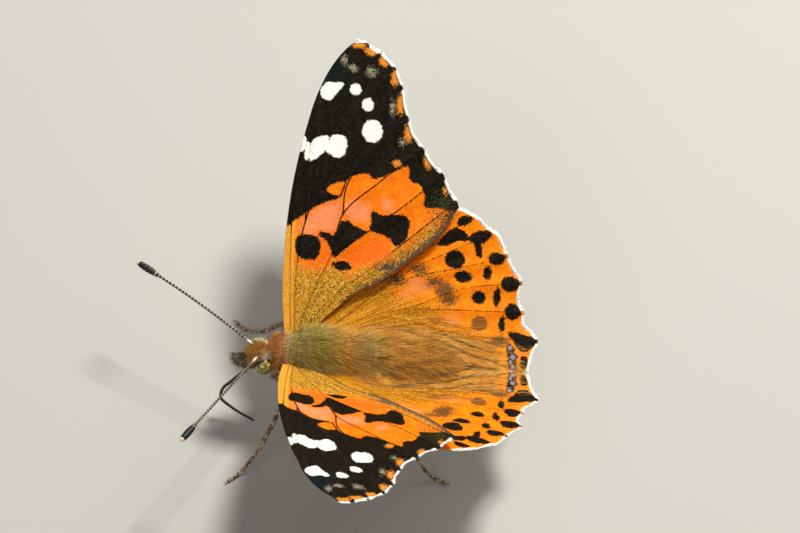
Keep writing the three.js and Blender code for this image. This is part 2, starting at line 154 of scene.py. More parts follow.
def along(points, shares):
    """Places at the given shares of the length of a smooth line through the points."""
    p = np.array(points, float)
    shares = np.asarray(shares, float)
    t = np.r_[0.0, np.cumsum(np.linalg.norm(np.diff(p, axis=0), axis=1))]
    slopes = np.empty_like(p)
    chords = np.diff(p, axis=0) / np.diff(t)[:, None]
    slopes[0], slopes[-1] = chords[0], chords[-1]
    if len(p) > 2:
        before, after = np.diff(t)[:-1, None], np.diff(t)[1:, None]
        slopes[1:-1] = (chords[:-1] * after + chords[1:] * before) / (before + after)
    q = np.clip(shares, 0, 1) * t[-1]
    i = np.clip(np.searchsorted(t, q, side="right") - 1, 0, len(p) - 2)
    h = (t[i + 1] - t[i])[..., None]
    s = (q - t[i])[..., None] / h
    return (
        (2 * s**3 - 3 * s**2 + 1) * p[i]
        + (s**3 - 2 * s**2 + s) * h * slopes[i]
        + (3 * s**2 - 2 * s**3) * p[i + 1]
        + (s**3 - s**2) * h * slopes[i + 1]
    )


def unit(vectors):
    return vectors / np.maximum(1e-9, np.linalg.norm(vectors, axis=1))[:, None]


def heading(points, shares, step):
    """Unit vectors along the smooth line at shares of its length."""
    return unit(along(points, np.clip(shares + step, 0, 1)) - along(points, np.clip(shares - step, 0, 1)))


def line_distance(places, path):
    """Distance of each place from a line through the path's points."""
    p = np.array(path, float)
    best = np.full(len(places), 1e9)
    for a, b in zip(p[:-1], p[1:]):
        edge = b - a
        share = np.clip(((places - a) @ edge) / max(1e-9, edge @ edge), 0, 1)
        best = np.minimum(best, np.linalg.norm(places - a - share[:, None] * edge, axis=1))
    return best


def loop_distance(places, loop):
    """Distance from a closed outline, below zero inside it."""
    p = np.array(loop, float)
    closed = np.vstack([p, p[:1]])
    inside = np.zeros(len(places), bool)
    for a, b in zip(closed[:-1], closed[1:]):
        crosses = (a[1] > places[:, 1]) != (b[1] > places[:, 1])
        rise = np.where(abs(b[1] - a[1]) < 1e-9, 1e-9, b[1] - a[1])
        at = a[0] + (places[:, 1] - a[1]) * (b[0] - a[0]) / rise
        inside ^= crosses & (places[:, 0] < at)
    distance = line_distance(places, closed)
    return np.where(inside, -distance, distance)


def spot_distance(places, spot):
    """Distance from an oval spot given as (back, out, half back, half out)."""
    back, out, half_back, half_out = spot
    reach = np.hypot((places[:, 0] - back) / half_back, (places[:, 1] - out) / half_out)
    return (reach - 1) * min(half_back, half_out)


def rounded(loop):
    """The closed outline with its corners cut twice, so that it bends softly."""
    p = np.array(loop, float)
    for _ in range(2):
        after = np.roll(p, -1, axis=0)
        p = np.stack([0.8 * p + 0.2 * after, 0.2 * p + 0.8 * after], axis=1).reshape(-1, 2)
    return p


def nearest(places, loops=(), spots=()):
    """Distance from the nearest of several outlines and spots."""
    best = np.full(len(places), FAR)
    for loop in loops:
        best = np.minimum(best, loop_distance(places, rounded(loop)) - 0.05)
    for spot in spots:
        best = np.minimum(best, spot_distance(places, spot))
    return best


# Wing surfaces and outlines.

FOREWING_LENGTH = 30.7
FOREWING_ROOT_ANGLE = math.radians(34)
FOREWING_BEND = math.radians(34 - 26) / FOREWING_LENGTH
FOREWING_ROOT_DROP = 0.3
HINDWING_SLOPE = math.radians(30)
HINDWING_DROP = 0.3
HINDWING_BEND_X = 4.16
HINDWING_DIP_X = 1.6
HINDWING_DIP = 0.18


def forewing_middle(places):
    """The middle of the left forewing's membrane, in millimetres."""
    back, out = places[:, 0], places[:, 1]
    angle = FOREWING_ROOT_ANGLE - FOREWING_BEND * out
    x = HINGE_HALF_WIDTH + (math.sin(FOREWING_ROOT_ANGLE) - np.sin(angle)) / FOREWING_BEND
    rise = (np.cos(angle) - math.cos(FOREWING_ROOT_ANGLE)) / FOREWING_BEND
    return np.stack([x, back, HINGE_HEIGHT - FOREWING_ROOT_DROP + rise], axis=1)


def hindwing_middle(places):
    """The middle of the left hindwing's membrane, in millimetres."""
    back, out = places[:, 0], places[:, 1]
    x = HINGE_HALF_WIDTH + out * math.cos(HINDWING_SLOPE)
    rise = math.tan(HINDWING_SLOPE) * np.log1p(np.exp(x - HINDWING_BEND_X))
    dip = HINDWING_DIP * np.log1p(np.exp(HINDWING_DIP_X - x))
    return np.stack([x, back, HINGE_HEIGHT - HINDWING_DROP + rise - dip], axis=1)


FOREWING_VEINS = [
    [(0.05, 0), (-0.45, 5), (-0.85, 10.4), (-0.8, 16.5)],
    [(0.45, 0), (0.1, 5), (0.3, 10), (1.3, 14.6), (1.9, 18.6), (2.8, 22.5), (6.9, 29.6)],
    [(0.5, 11.5), (0.35, 15.5), (-0.5, 19.6)],
    [(1.1, 14), (0.95, 18.5), (0.3, 23.4)],
    [(2.1, 19.5), (2.3, 25), (3.4, 29.8)],
    [(2.6, 21.8), (3.6, 27.2), (5.3, 30.4)],
    [(1.1, 14), (2.6, 16.4), (4.1, 21.5), (8.4, 28.2)],
    [(3.9, 14.2), (5.6, 20.2), (9.4, 26)],
    [(4.3, 12.4), (4.4, 15.2), (6.6, 18.9), (10.2, 23)],
    [(0.8, 0), (2.1, 4.6), (3.5, 8.1), (4.3, 12.4), (7.6, 15.9), (12, 20)],
    [(3.6, 8.3), (7.1, 10.9), (9.9, 13.3), (14.3, 17.5)],
    [(1.3, 0), (4.2, 4), (7.6, 7), (11.1, 10.3), (15.9, 14.9)],
    [(1.1, 14), (2.4, 14.2), (3.9, 14.2)],
]
HINDWING_VEINS = [
    [(3.1, 0.4), (6, 3.9), (10, 8.5), (16.8, 14.8)],
    [(8.4, 5), (11, 8), (14.5, 11.3), (18, 14.4)],
    [(9, 5.4), (12, 8.1), (17, 11), (20.1, 12.8)],
    [(3.4, 0.35), (6.5, 3.3), (10, 6.4), (14, 7.9), (18.3, 9.2), (21.7, 10.4)],
    [(12.4, 4.1), (16.1, 6.1), (21.1, 7.4), (23.5, 7.5)],
    [(3.8, 0.3), (7, 2.1), (11.5, 3.9), (16.5, 4.3), (23.9, 4.7)],
    [(8.8, 2.9), (12, 2.6), (17, 1.6), (25.6, 1.7)],
    [(4.3, 0.2), (9, 0.7), (16, 0.2), (24.9, -0.7)],
]

# The forewing's black with its bays, then its bars and spots.
FOREWING_BLACK = [
    (-2.5, 10.2), (-1.3, 10.5), (-0.4, 11.4), (0.5, 12.1), (1.5, 12.9), (2.5, 13.5), (3.4, 13.8),
    (3.9, 14.2), (4.5, 16.2), (5.9, 16.8), (6.7, 16.8), (7.1, 16.2), (8.3, 16.8), (8.9, 17.1),
    (9.9, 17.8), (10.6, 18.1), (10.8, 17.6), (10.7, 16.6), (11.9, 16.3), (12.3, 15.6),
    (12.6, 15.2), (12.5, 13.9), (13.3, 13.9), (14.4, 14.0), (15.2, 13.8), (19, 13.6), (19, 33), (-4, 33),
]
FOREWING_ISLAND = [(2.3, 14.8), (3.1, 15.5), (4.1, 15.8), (4.4, 15.6), (4.1, 14.4), (3.2, 14.2)]
FOREWING_BARS = [
    [
        (-0.3, 9.1), (-0.1, 9.75), (1.0, 9.95), (2.0, 9.75), (2.35, 9.0), (2.25, 7.9), (1.7, 7.45),
        (0.6, 7.4), (-0.15, 7.8),
    ],
    [
        (2.0, 10.4), (2.8, 10.35), (3.5, 10.1), (3.9, 10.6), (4.15, 11.6), (4.9, 11.75), (5.6, 11.3),
        (6.4, 11.0), (7.1, 10.85),
        (6.2, 10.1), (5.1, 9.1), (4.1, 8.1), (3.75, 7.9), (3.5, 8.3), (3.2, 9.1), (2.8, 9.6), (2.2, 9.9),
    ],
    [
        (7.3, 13.1), (7.9, 12.8), (8.5, 12.55), (9.3, 12.9), (10.1, 12.9), (11.0, 12.8), (11.3, 12.3),
        (11.2, 11.4), (11.1, 10.5),
        (10.6, 9.9), (10.1, 9.65), (9.7, 9.9), (9.4, 10.4), (8.6, 10.7), (7.6, 10.9), (7.1, 11.2),
        (7.4, 11.8), (7.2, 12.4),
    ],
]
FOREWING_DARK_SPOTS = [(4.7, 7.1, 1.0, 0.5)]
# A spot of painted shadow against the forewing's rear edge.
FOREWING_SHADOW_SPOTS = [(9.4, 7.4, 1.0, 0.5)]
FOREWING_MOSS = (14.9, 13.9, 1.9, 2.2)
# A painted sheen: blue-green over the black near the forewing's tip.
FOREWING_APEX_SHEEN = (2.0, 27.4, 1.9, 2.9)
FOREWING_WHITE = [
    [(-0.7, 18.6), (-0.4, 20.1), (-0.1, 19.6), (-0.4, 18.4)],
    [(-0.1, 17.8), (0.0, 19.5), (0.2, 19.3), (0.2, 17.6)],
    [(0.4, 17.5), (1.1, 18.0), (1.8, 18.7), (2.1, 19.5), (2.2, 20.3), (1.3, 20.2), (0.6, 19.7), (0.4, 19.2)],
    [(1.9, 18.8), (2.5, 18.5), (3.3, 18.2), (3.9, 18.6), (4.1, 19.8), (3.7, 20.5), (2.6, 20.5), (2.4, 20.1)],
    [(0.9, 25.0), (1.5, 26.0), (2.3, 25.9), (3.2, 26.1), (3.0, 25.6), (2.4, 24.8), (2.0, 24.1), (1.2, 24.3)],
]
FOREWING_WHITE_SPOTS = [(4.5, 25.5, 0.55, 0.55), (5.9, 24.0, 0.55, 0.65), (6.6, 21.3, 1.02, 1.15)]
FOREWING_FAINT_SPOTS = [
    (3.1, 28.5, 0.22, 0.3), (4.1, 27.7, 0.3, 0.25), (6.0, 27.5, 0.4, 0.35), (8.5, 24.0, 0.18, 0.4),
    (9.8, 20.5, 0.2, 0.22),
]
FOREWING_LUNULES = [
    [(4.0, 30.65), (5.0, 30.7)], [(5.75, 30.2), (6.5, 29.75)], [(7.1, 29.45), (7.7, 28.95), (8.15, 28.5)],
    [(8.7, 27.8), (9.2, 26.7)], [(9.5, 25.8), (9.8, 24.6), (10.15, 23.5)],
    [(10.45, 22.6), (10.9, 21.4), (11.7, 20.4)],
    [(12.4, 19.6), (13.1, 18.6), (13.9, 17.9)], [(14.7, 16.9), (15.1, 16.0), (15.7, 15.2)],
]
FOREWING_EMBERS = [
    (4.5, 30.2, 0.6, 0.3), (5.8, 29.7, 0.6, 0.45), (7.2, 28.8, 0.5, 0.55), (8.5, 27.1, 0.4, 0.75),
    (9.3, 24.5, 0.42, 0.95),
    (10.4, 21.6, 0.45, 0.95), (12.6, 18.8, 0.38, 0.75), (14.7, 16.0, 0.25, 0.45), (9.4, 18.2, 0.4, 0.3),
]
FOREWING_PINK = [
    [
        (-0.1, 11.3), (1.5, 12.8), (3.9, 14.1), (4.1, 12.6), (3.8, 10.6), (3.3, 10.4), (2.0, 10.4),
        (1.4, 9.8), (0.0, 9.9),
    ],
    [(4.3, 12.5), (4.3, 13.6), (5.2, 14.0), (6.2, 14.0), (7.2, 13.4), (7.0, 11.6), (5.4, 11.8)],
    [(8.2, 13.2), (8.2, 14.6), (9.4, 14.3), (9.4, 13.3)],
]
FOREWING_CORAL = [[(4.7, 7.8), (6.3, 9.4), (8.0, 10.2), (9.6, 9.5), (9.6, 8.4), (8.0, 7.6), (6.3, 7.1)]]
FOREWING_CORAL_SPOTS = [(2.9, 7.9, 0.8, 1.1), (1.5, 7.0, 1.2, 0.5)]
FOREWING_GOLD = [
    (-3, 10.3), (-0.5, 10.3), (-0.3, 7.2), (1, 6.5), (2.3, 6.4), (2.9, 7.0), (4, 7.2), (5.6, 6.3),
    (7.5, 7.5), (9.3, 8.5), (11.2, 9.9), (12.8, 11.4), (14.2, 12.6), (19, 10), (19, -4), (-3, -4),
]
HINDWING_BLACK = [
    [(16.3, 13.5), (16.7, 14.2), (17.8, 14.3), (17.9, 13.9), (17.2, 13.2), (16.4, 13.2)],
    [
        (14.3, 10.9), (15.1, 12.1), (16.1, 13.0), (16.9, 12.7), (17.5, 12.3), (17.7, 11.6), (16.5, 11.6),
        (15.4, 10.9),
    ],
    [
        (17.6, 12.0), (18.2, 12.7), (19.7, 13.0), (20.1, 12.5), (19.5, 11.8), (18.9, 11.4), (19.3, 10.1),
        (18.8, 10.0), (18.3, 11.4), (17.8, 11.6),
    ],
    [
        (22.5, 2.6), (24.0, 2.3), (25.7, 1.9), (25.6, 1.3), (25.1, 0.8), (24.5, 0.1), (23.7, 0.1),
        (23.2, 1.3), (22.7, 1.8),
    ],
    [
        (22.3, 0.9), (22.9, 0.95), (23.3, 0.35), (23.15, -0.15), (23.6, -0.5), (23.35, -1.2),
        (23.55, -1.8), (23.4, -2.3),
        (23.0, -2.7), (22.6, -2.5), (22.75, -1.9), (22.5, -1.45), (22.7, -0.95), (22.5, -0.4), (22.45, 0.2),
    ],
    [(23.8, -0.6), (24.6, -0.5), (24.7, -1.6), (24.2, -2.2), (23.8, -1.9), (24.0, -1.2)],
]
HINDWING_SPOTS = [
    (16.4, 9.6, 1.05, 1.0), (17.4, 7.9, 0.95, 0.65), (19.2, 5.9, 0.75, 0.7), (18.8, 10.8, 0.35, 0.8),
    (19.9, 8.5, 0.45, 0.8),
    (21.1, 6.1, 0.4, 1.05), (21.8, 3.2, 0.35, 1.0), (20.7, 10.1, 0.9, 0.65), (22.3, 7.6, 1.05, 0.8),
    (22.8, 4.7, 0.85, 0.9),
    (24.2, 1.6, 1.0, 0.6), (21.3, 10.3, 0.5, 0.35), (22.9, 7.7, 0.6, 0.45), (23.3, 4.7, 0.5, 0.4),
]
HINDWING_VEILED_SPOTS = [(19.5, 3.1, 0.85, 0.85)]
HINDWING_WHITE = [
    [(22.6, 0.65), (22.9, 0.6), (22.85, 0.2), (22.65, 0.25)],
    [(22.95, -0.5), (23.3, -0.6), (23.2, -0.95), (22.85, -0.85)],
    [(22.75, -1.3), (22.95, -1.25), (22.95, -1.6), (22.8, -1.55)],
    [(23.05, -1.95), (23.25, -1.9), (23.15, -2.35), (22.95, -2.3)],
]
HINDWING_TIPS = [(21.8, 10.5), (23.5, 7.8), (23.95, 4.7), (25.6, 1.65)]
EYESPOTS = {"forewing": [], "hindwing": [(19.6, 9.2), (20.7, 6.4), (21.4, 3.6), (18.4, 11.6), (22.6, 0.4)]}
HINDWING_SMOKE = [
    (12.9, 8.1, 1.0, 0.6), (14.6, 7.0, 0.9, 0.55), (15.6, 6.3, 1.0, 0.9), (16.1, 5.4, 0.9, 0.7),
    (10.6, 6.9, 0.9, 0.6), (21.7, 1.2, 1.0, 0.6),
]
HINDWING_PINK_SPOTS = [(12.9, 6.5, 1.4, 0.9), (11.6, 5.4, 0.8, 0.6), (16.6, 3.1, 1.0, 0.8)]
HINDWING_GOLD = [
    (0, 6), (9.5, 9.0), (10.4, 6.4), (11.0, 5.0), (15.2, 4.4), (16.0, 2.6), (19.5, 1.8), (22.0, 1.1),
    (22.4, -1.2), (26.5, -2.2), (26.5, -4), (0, -4),
]
FOREWING_PLAN = {
    "front": [
        (-0.5, -0.7), (-1.15, 4), (-1.3, 7.1), (-1.35, 10.4), (-1, 16), (-0.3, 20.5), (0.7, 24.9),
        (1.8, 27.6), (3.2, 29.7), (4.2, 30.7),
    ],
    "rim": [
        (4.2, 30.7), (5.3, 30.45), (5.9, 30.05), (6.9, 29.6), (7.55, 28.85), (8.4, 28.2), (8.85, 27.1),
        (9.4, 26), (9.6, 24.5),
        (10.2, 23), (10.7, 21.5), (12, 20), (12.9, 18.6), (14.3, 17.5), (14.9, 16.1), (15.9, 14.9),
        (16.2, 14.3),
    ],
    "rear": [
        (1.9, -0.7), (2.9, 1), (4.3, 2.5), (7.1, 4.9), (9, 5.95), (11.4, 8.1), (14.4, 11.1), (16.2, 14.3),
    ],
}
HINDWING_PLAN = {
    "front": [(2.2, -0.7), (2.9, 1), (3.9, 2.7), (8.3, 8.6), (12.5, 12.8), (14.8, 14.7), (16.1, 15)],
    "rim": [
        (16.1, 15), (16.6, 14.85), (17.2, 14.65), (18.4, 14.15), (19.4, 13.3), (20.5, 12.7), (21.2, 11.6),
        (21.8, 10.5),
        (22.5, 9.2), (23.5, 7.85), (23.25, 6.7), (23.35, 5.7), (23.95, 4.7), (23.95, 3.6), (24.9, 2.6),
        (25.6, 1.65), (25.1, 0.2), (24.85, -1.1), (24.65, -2.45),
    ],
    "rear": [
        (4.9, -0.7), (8, -0.45), (12, -0.55), (16, -1.1), (18.5, -2.0), (20.3, -2.45), (21.8, -2.5),
        (24.65, -2.45),
    ],
}


def wing_places(plan, u, v):
    """Wing places for u from root to margin and v from the front edge to the rear."""
    front, rear, rim = along(plan["front"], u), along(plan["rear"], u), along(plan["rim"], v)
    corners = [np.array(plan[name][end], float) for end in (0, -1) for name in ("front", "rear")]
    u, v = u[:, None], v[:, None]
    root = (1 - v) * corners[0] + v * corners[1]
    blend = (1 - u) * root + u * ((1 - v) * corners[2] + v * corners[3])
    return (1 - v) * front + v * rear + (1 - u) * root + u * rim - blend


def lines_distance(places, paths):
    return np.min([line_distance(places, path) for path in paths], axis=0)


def spots_distance(places, spots):
    """Distance from the nearest of some points."""
    return np.min([np.full(len(places), FAR), *(np.hypot(*(places - spot).T) for spot in spots)], axis=0)


def forewing_marks(places):
    """Distances from the forewing's marks, in millimetres."""
    black = loop_distance(places, rounded(FOREWING_BLACK))
    black = np.maximum(black, -loop_distance(places, rounded(FOREWING_ISLAND)))
    # The band along the rear edge, wider further out, is painted shadow.
    rear = line_distance(places, along(FOREWING_PLAN["rear"], np.linspace(0.25, 1, 40)))
    rear_band = rear - 0.6 * np.clip(places[:, 1] / 8, 0, 1)
    return {
        "dark": np.minimum(black, nearest(places, FOREWING_BARS, FOREWING_DARK_SPOTS)),
        "white": nearest(places, FOREWING_WHITE, FOREWING_WHITE_SPOTS),
        "faint": nearest(places, (), FOREWING_FAINT_SPOTS),
        "lunule": lines_distance(places, FOREWING_LUNULES) - 0.2,
        "ember": nearest(places, (), FOREWING_EMBERS),
        "pink": nearest(places, FOREWING_PINK),
        "gold": loop_distance(places, FOREWING_GOLD),
        "smoke": np.minimum(rear_band, nearest(places, (), FOREWING_SHADOW_SPOTS)),
        "moss": spot_distance(places, FOREWING_MOSS),
        "apex": spot_distance(places, FOREWING_APEX_SHEEN),
        "veiled": nearest(places, FOREWING_CORAL, FOREWING_CORAL_SPOTS),
        "costal": line_distance(places, along(FOREWING_PLAN["front"], np.linspace(0, 0.35, 20))) - 1.1,
    }


def hindwing_marks(places):
    """Distances from the hindwing's marks, in millimetres."""
    far = np.full(len(places), FAR)
    rim = line_distance(places, along(HINDWING_PLAN["rim"], np.linspace(0, 1, 160)))
    tips = spots_distance(places, HINDWING_TIPS)
    marks = dict.fromkeys(("costal", "faint", "ember", "moss", "apex"), far)
    marks.update(
        dark=nearest(places, HINDWING_BLACK, HINDWING_SPOTS),
        white=nearest(places, HINDWING_WHITE),
        lunule=np.maximum(rim - 0.14, 0.3 - tips),
        pink=nearest(places, (), HINDWING_PINK_SPOTS),
        gold=loop_distance(places, HINDWING_GOLD),
        smoke=nearest(places, (), HINDWING_SMOKE),
        veiled=nearest(places, (), HINDWING_VEILED_SPOTS),
    )
    return marks


WINGS = {
    "forewing": {
        "middle": forewing_middle, "plan": FOREWING_PLAN, "marks": forewing_marks, "veins": FOREWING_VEINS,
        "centre": (8.0, 12.0),
        "grid": (190, 130), "corner": (-1.0, -2.0), "under_patch": (0.0, 0.5),
    },
    "hindwing": {
        "middle": hindwing_middle, "plan": HINDWING_PLAN, "marks": hindwing_marks, "veins": HINDWING_VEINS,
        "centre": (13.0, 5.0),
        "grid": (150, 130), "corner": (-2.4, 2.4), "under_patch": (0.5, 0.0),
    },
}


# Meshes. Every piece starts from a created grid, ball or cone that is then shaped.


def finish_piece(name, bm, material):
    """Turns a bmesh, in millimetres along the body, into a piece that rides on the body."""
    bmesh.ops.translate(bm, verts=bm.verts, vec=(0, BACK_SHIFT, 0))
    bmesh.ops.scale(bm, verts=bm.verts, vec=(MM, MM, MM))
    mesh = bpy.data.meshes.new(name)
    bm.to_mesh(mesh)
    bm.free()
    return finish_mesh(mesh, material)


def finish_mesh(mesh, material):
    """Shows a mesh under its own name as a smooth piece that rides on the body."""
    mesh.materials.append(material)
    mesh.shade_smooth()
    piece = bpy.data.objects.new(mesh.name, mesh)
    bpy.context.scene.collection.objects.link(piece)
    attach(piece, "root")
    return piece


def store(mesh, name, values):
    """Keeps a number, or three numbers, for each vertex."""
    values = np.asarray(values, np.float32)
    kind, field = ("FLOAT_VECTOR", "vector") if values.ndim == 2 else ("FLOAT", "value")
    mesh.attributes.new(name, kind, "POINT").data.foreach_set(field, values.ravel())


def store_colour(mesh, name, values):
    values = np.asarray(values, np.float32)
    full = np.concatenate([values, np.ones((len(values), 1), np.float32)], axis=1)
    mesh.attributes.new(name, "FLOAT_COLOR", "POINT").data.foreach_set("color", full.ravel())


def shaped_grid(bm, across, lengthwise, shape, unwrap):
    """A created grid shaped by a function of u and v, with its unwrap, and joined where u comes round."""
    made = bmesh.ops.create_grid(bm, x_segments=across, y_segments=lengthwise, size=0.5)["verts"]
    start = np.array([vert.co[:2] for vert in made]) + 0.5
    uv = bm.loops.layers.uv.get("OFBake") or bm.loops.layers.uv.new("OFBake")
    flat = dict(zip(made, start))
    left, low, width, height = unwrap
    faces = {face for vert in made for face in vert.link_faces}
    for face in faces:
        for loop in face.loops:
            u, v = flat[loop.vert]
            loop[uv].uv = (left + u * width, low + v * height)
    for vert, place in zip(made, shape(start[:, 0], start[:, 1])):
        vert.co = place
    bmesh.ops.remove_doubles(bm, verts=made, dist=WELD)
    return [vert for vert in made if vert.is_valid]


def tube_shape(points, radius_at):
    """A function that wraps a grid around a smooth path."""

    def shape(u, v):
        ahead = heading(points, v, SHARE_STEP)
        side = unit(np.cross(ahead, (0.13, 0.07, 0.99)))
        turn = 2 * np.pi * u[:, None]
        ring = np.cos(turn) * side + np.sin(turn) * np.cross(side, ahead)
        return along(points, v) + radius_at(v)[:, None] * ring

    return shape


def close_ends(bm):
    """Fills what is open, merges doubles and turns every face outwards."""
    bmesh.ops.remove_doubles(bm, verts=bm.verts, dist=WELD)
    bmesh.ops.holes_fill(bm, edges=[edge for edge in bm.edges if edge.is_boundary], sides=0)
    bmesh.ops.recalc_face_normals(bm, faces=bm.faces)


# Body sections, as in the frame: [back, half width, half height, centre height].

THORAX_SECTIONS = [
    [-1.65, 0.9, 0.9, -0.3], [-1.5, 1.45, 1.4, -0.3], [-1.15, 1.8, 1.75, -0.25], [-0.8, 1.88, 1.82, -0.2],
    [-0.45, 1.72, 1.72, -0.15], [0.2, 1.92, 1.95, -0.05], [1.6, 2.15, 2.35, 0], [3.6, 2.2, 2.5, 0],
    [5.2, 2.15, 2.4, 0],
    [6.8, 2.0, 2.1, -0.05], [8.0, 1.75, 1.8, -0.1], [8.75, 1.6, 1.65, -0.12],
]
ABDOMEN_START = 8.6
ABDOMEN_LENGTH = 11.3
HEAD_SECTIONS = [
    [-3.05, 0.35, 0.4, -0.1], [-2.9, 0.8, 0.85, -0.05], [-2.5, 1.2, 1.2, 0], [-2.0, 1.45, 1.38, 0],
    [-1.5, 1.42, 1.32, 0],
    [-1.1, 1.05, 1.0, 0], [-0.6, 0.8, 0.8, 0],
]
SEGMENTS = 7


def sections_shape(sections):
    table = np.array(sections, float)

    def shape(u, v):
        back, half_width, half_height, height = along(table, v).T
        rounding = np.sqrt(np.clip(np.minimum(v, 1 - v) / 0.02, 0, 1))
        turn = 2 * np.pi * u
        across, upward = rounding * half_width * np.cos(turn), rounding * half_height * np.sin(turn)
        return np.stack([across, back, height + upward], axis=1)

    return shape


def thorax_shape(u, v):
    return sections_shape(THORAX_SECTIONS)(u, v) + np.array([0, 0, THORAX_HEIGHT])


def abdomen_shape(u, v):
    swell = 1.5 + 0.55 * np.sin(np.pi * np.minimum(1, 0.25 + v)) - 1.15 * v**3
    notch = 0.06 * np.abs(np.cos(np.pi * SEGMENTS * v)) ** 8
    rounding = np.sqrt(np.clip((1 - v) / 0.05, 0, 1))
    half = (swell - notch) * rounding
    turn = 2 * np.pi * u
    height = THORAX_HEIGHT - 0.12 - 0.5 * v**2
    back = ABDOMEN_START + v * ABDOMEN_LENGTH
    return np.stack([half * np.cos(turn), back, height + 1.05 * half * np.sin(turn)], axis=1)


def turn_head(places):
    """Head places, made straight ahead at the neck, turned to the butterfly's left."""
    x, y, z = np.asarray(places, float).T
    c, s = math.cos(HEAD_TURN), math.sin(HEAD_TURN)
    return np.stack([c * x - s * y, s * x + c * y + NECK_BACK, z + HEAD_HEIGHT], axis=1)


def head_shape(u, v):
    return turn_head(sections_shape(HEAD_SECTIONS)(u, v))


BODY_PARTS = {
    "thorax": (thorax_shape, (0.01, 0.01, 0.98, 0.3), (64, 60)),
    "abdomen": (abdomen_shape, (0.01, 0.34, 0.98, 0.3), (64, 90)),
    "head": (head_shape, (0.01, 0.67, 0.98, 0.3), (56, 40)),
}

OLIVE = paint(188, 164, 70)
GOLDEN = paint(240, 174, 58)
TAN = paint(244, 176, 66)
RUFOUS = paint(214, 138, 58)
CREAM = paint(248, 234, 198)
BLUE_GREY = paint(150, 144, 116)
BROWN = paint(104, 66, 32)
PALE = paint(238, 214, 168)


def band(value, low, high, soft=0.3):
    """One between low and high, and zero outside, with soft edges."""
    return np.clip((value - low) / soft, 0, 1) * np.clip((high - value) / soft, 0, 1)


def part_height(part):
    return HEAD_HEIGHT if part == "head" else THORAX_HEIGHT


def blend(colour, over, share):
    share = np.clip(share, 0, 1)[:, None]
    return colour * (1 - share) + np.array(over) * share


def body_colour(part, places, turn):
    """The coat's and the skin's colour at places of a body part; turn runs from 0 to 1 around it."""
    x, back, z = places.T
    top = np.clip(np.sin(2 * np.pi * turn), 0, 1)
    below = np.clip(-np.sin(2 * np.pi * turn) * 1.6 - 0.2, 0, 1)
    across, around = np.abs(np.cos(2 * np.pi * turn)), np.cos(2 * np.pi * turn) ** 2
    start = {"thorax": OLIVE, "abdomen": TAN, "head": np.array(GOLDEN) * 0.85}[part]
    colour = np.tile(start, (len(places), 1))
    if part == "thorax":
        colour = blend(colour, GOLDEN, 0.75 * band(back, 3.2, 9.0, 2.2))
        colour = blend(colour, BLUE_GREY, 0.6 * band(back, 0.4, 1.6, 0.5) * top)
        colour = blend(colour, BLUE_GREY, 0.45 * band(back, 6.0, 8.2, 0.9) * top)
        ridge = band(np.abs(x), -0.2, 0.12, 0.1) * band(back, 1.0, 5.0, 0.5)
        colour = blend(colour, BROWN, 0.7 * ridge * top)
        colour = blend(colour, PALE, 0.75 * band(across, 0.86, 1.2, 0.1) * band(back, 0.6, 5.0, 0.6))
        colour = blend(colour, RUFOUS, band(back, -3.0, -0.45, 0.12))
        # Cream at the collar's rear edge: partly the hair tips' own cream, partly painted highlight, which is
        # why it is strongest on top.
        colour = blend(colour, CREAM, 0.9 * band(back, -0.55, -0.2, 0.1) * (0.3 + 0.7 * top))
        colour = blend(colour, PALE, 0.6 * below)
    if part == "abdomen":
        ringed = np.abs(np.cos(np.pi * SEGMENTS * (back - ABDOMEN_START) / ABDOMEN_LENGTH))
        colour = blend(colour, BROWN, 0.3 * band(ringed, 0.9, 2, 0.1))
        # Brown halfway round between the flanks and the back, and between the flanks and the belly: painted
        # shade.
        colour = blend(colour, BROWN, 0.25 * band(around, 0.35, 0.75, 0.15))
        colour = blend(colour, GOLDEN, 0.45 * top)
        colour = blend(colour, np.array(OLIVE) * 0.8, 0.8 * band(back, 0.0, ABDOMEN_START + 0.9, 0.7))
        colour = blend(colour, CREAM, 0.8 * below)
    if part == "head":
        colour = blend(colour, np.array(RUFOUS) * 0.8, 0.7 * band(np.sin(7 * x + 3 * back), -0.2, 2, 0.4))
        colour = blend(colour, CREAM, 0.7 * below)
        for side in SIDES.values():
            eye, root = turn_head(mirrored([EYE_CENTRE, ANTENNA_ROOT], side))
            near = np.linalg.norm(places - eye, axis=1)
            colour = blend(colour, CREAM, band(near, -1, EYE_RADIUS + 0.5, 0.1) * (back > eye[1] - 0.2))
            socket = band(np.linalg.norm(places - root, axis=1), -1, 0.5, 0.15)
            colour = blend(colour, np.array(BROWN) * 0.4, 0.85 * socket)
    return colour


# Hair, as joined meshes of slim closed cones.


def hair_template():
    """One upright hair of height one and foot radius one, cut once so that it can bend."""
    bm = bmesh.new()
    bmesh.ops.create_cone(bm, cap_ends=True, segments=3, radius1=1, radius2=0, depth=1)
    bmesh.ops.translate(bm, verts=bm.verts, vec=(0, 0, 0.5))
    whole = bm.verts[:] + bm.edges[:] + bm.faces[:]
    bmesh.ops.bisect_plane(bm, geom=whole, plane_co=(0, 0, HAIR_BEND), plane_no=(0, 0, 1))
    bmesh.ops.triangulate(bm, faces=bm.faces)
    bm.verts.ensure_lookup_table()
    bm.verts.index_update()
    verts = np.array([vert.co[:] for vert in bm.verts])
    faces = np.array([[vert.index for vert in face.verts] for face in bm.faces])
    bm.free()
    middle = np.abs(verts[:, 2] - HAIR_BEND) < 0.01
    verts[middle, :2] *= HAIR_BELLY
    return verts, faces


HAIR_VERTS, HAIR_FACES = hair_template()


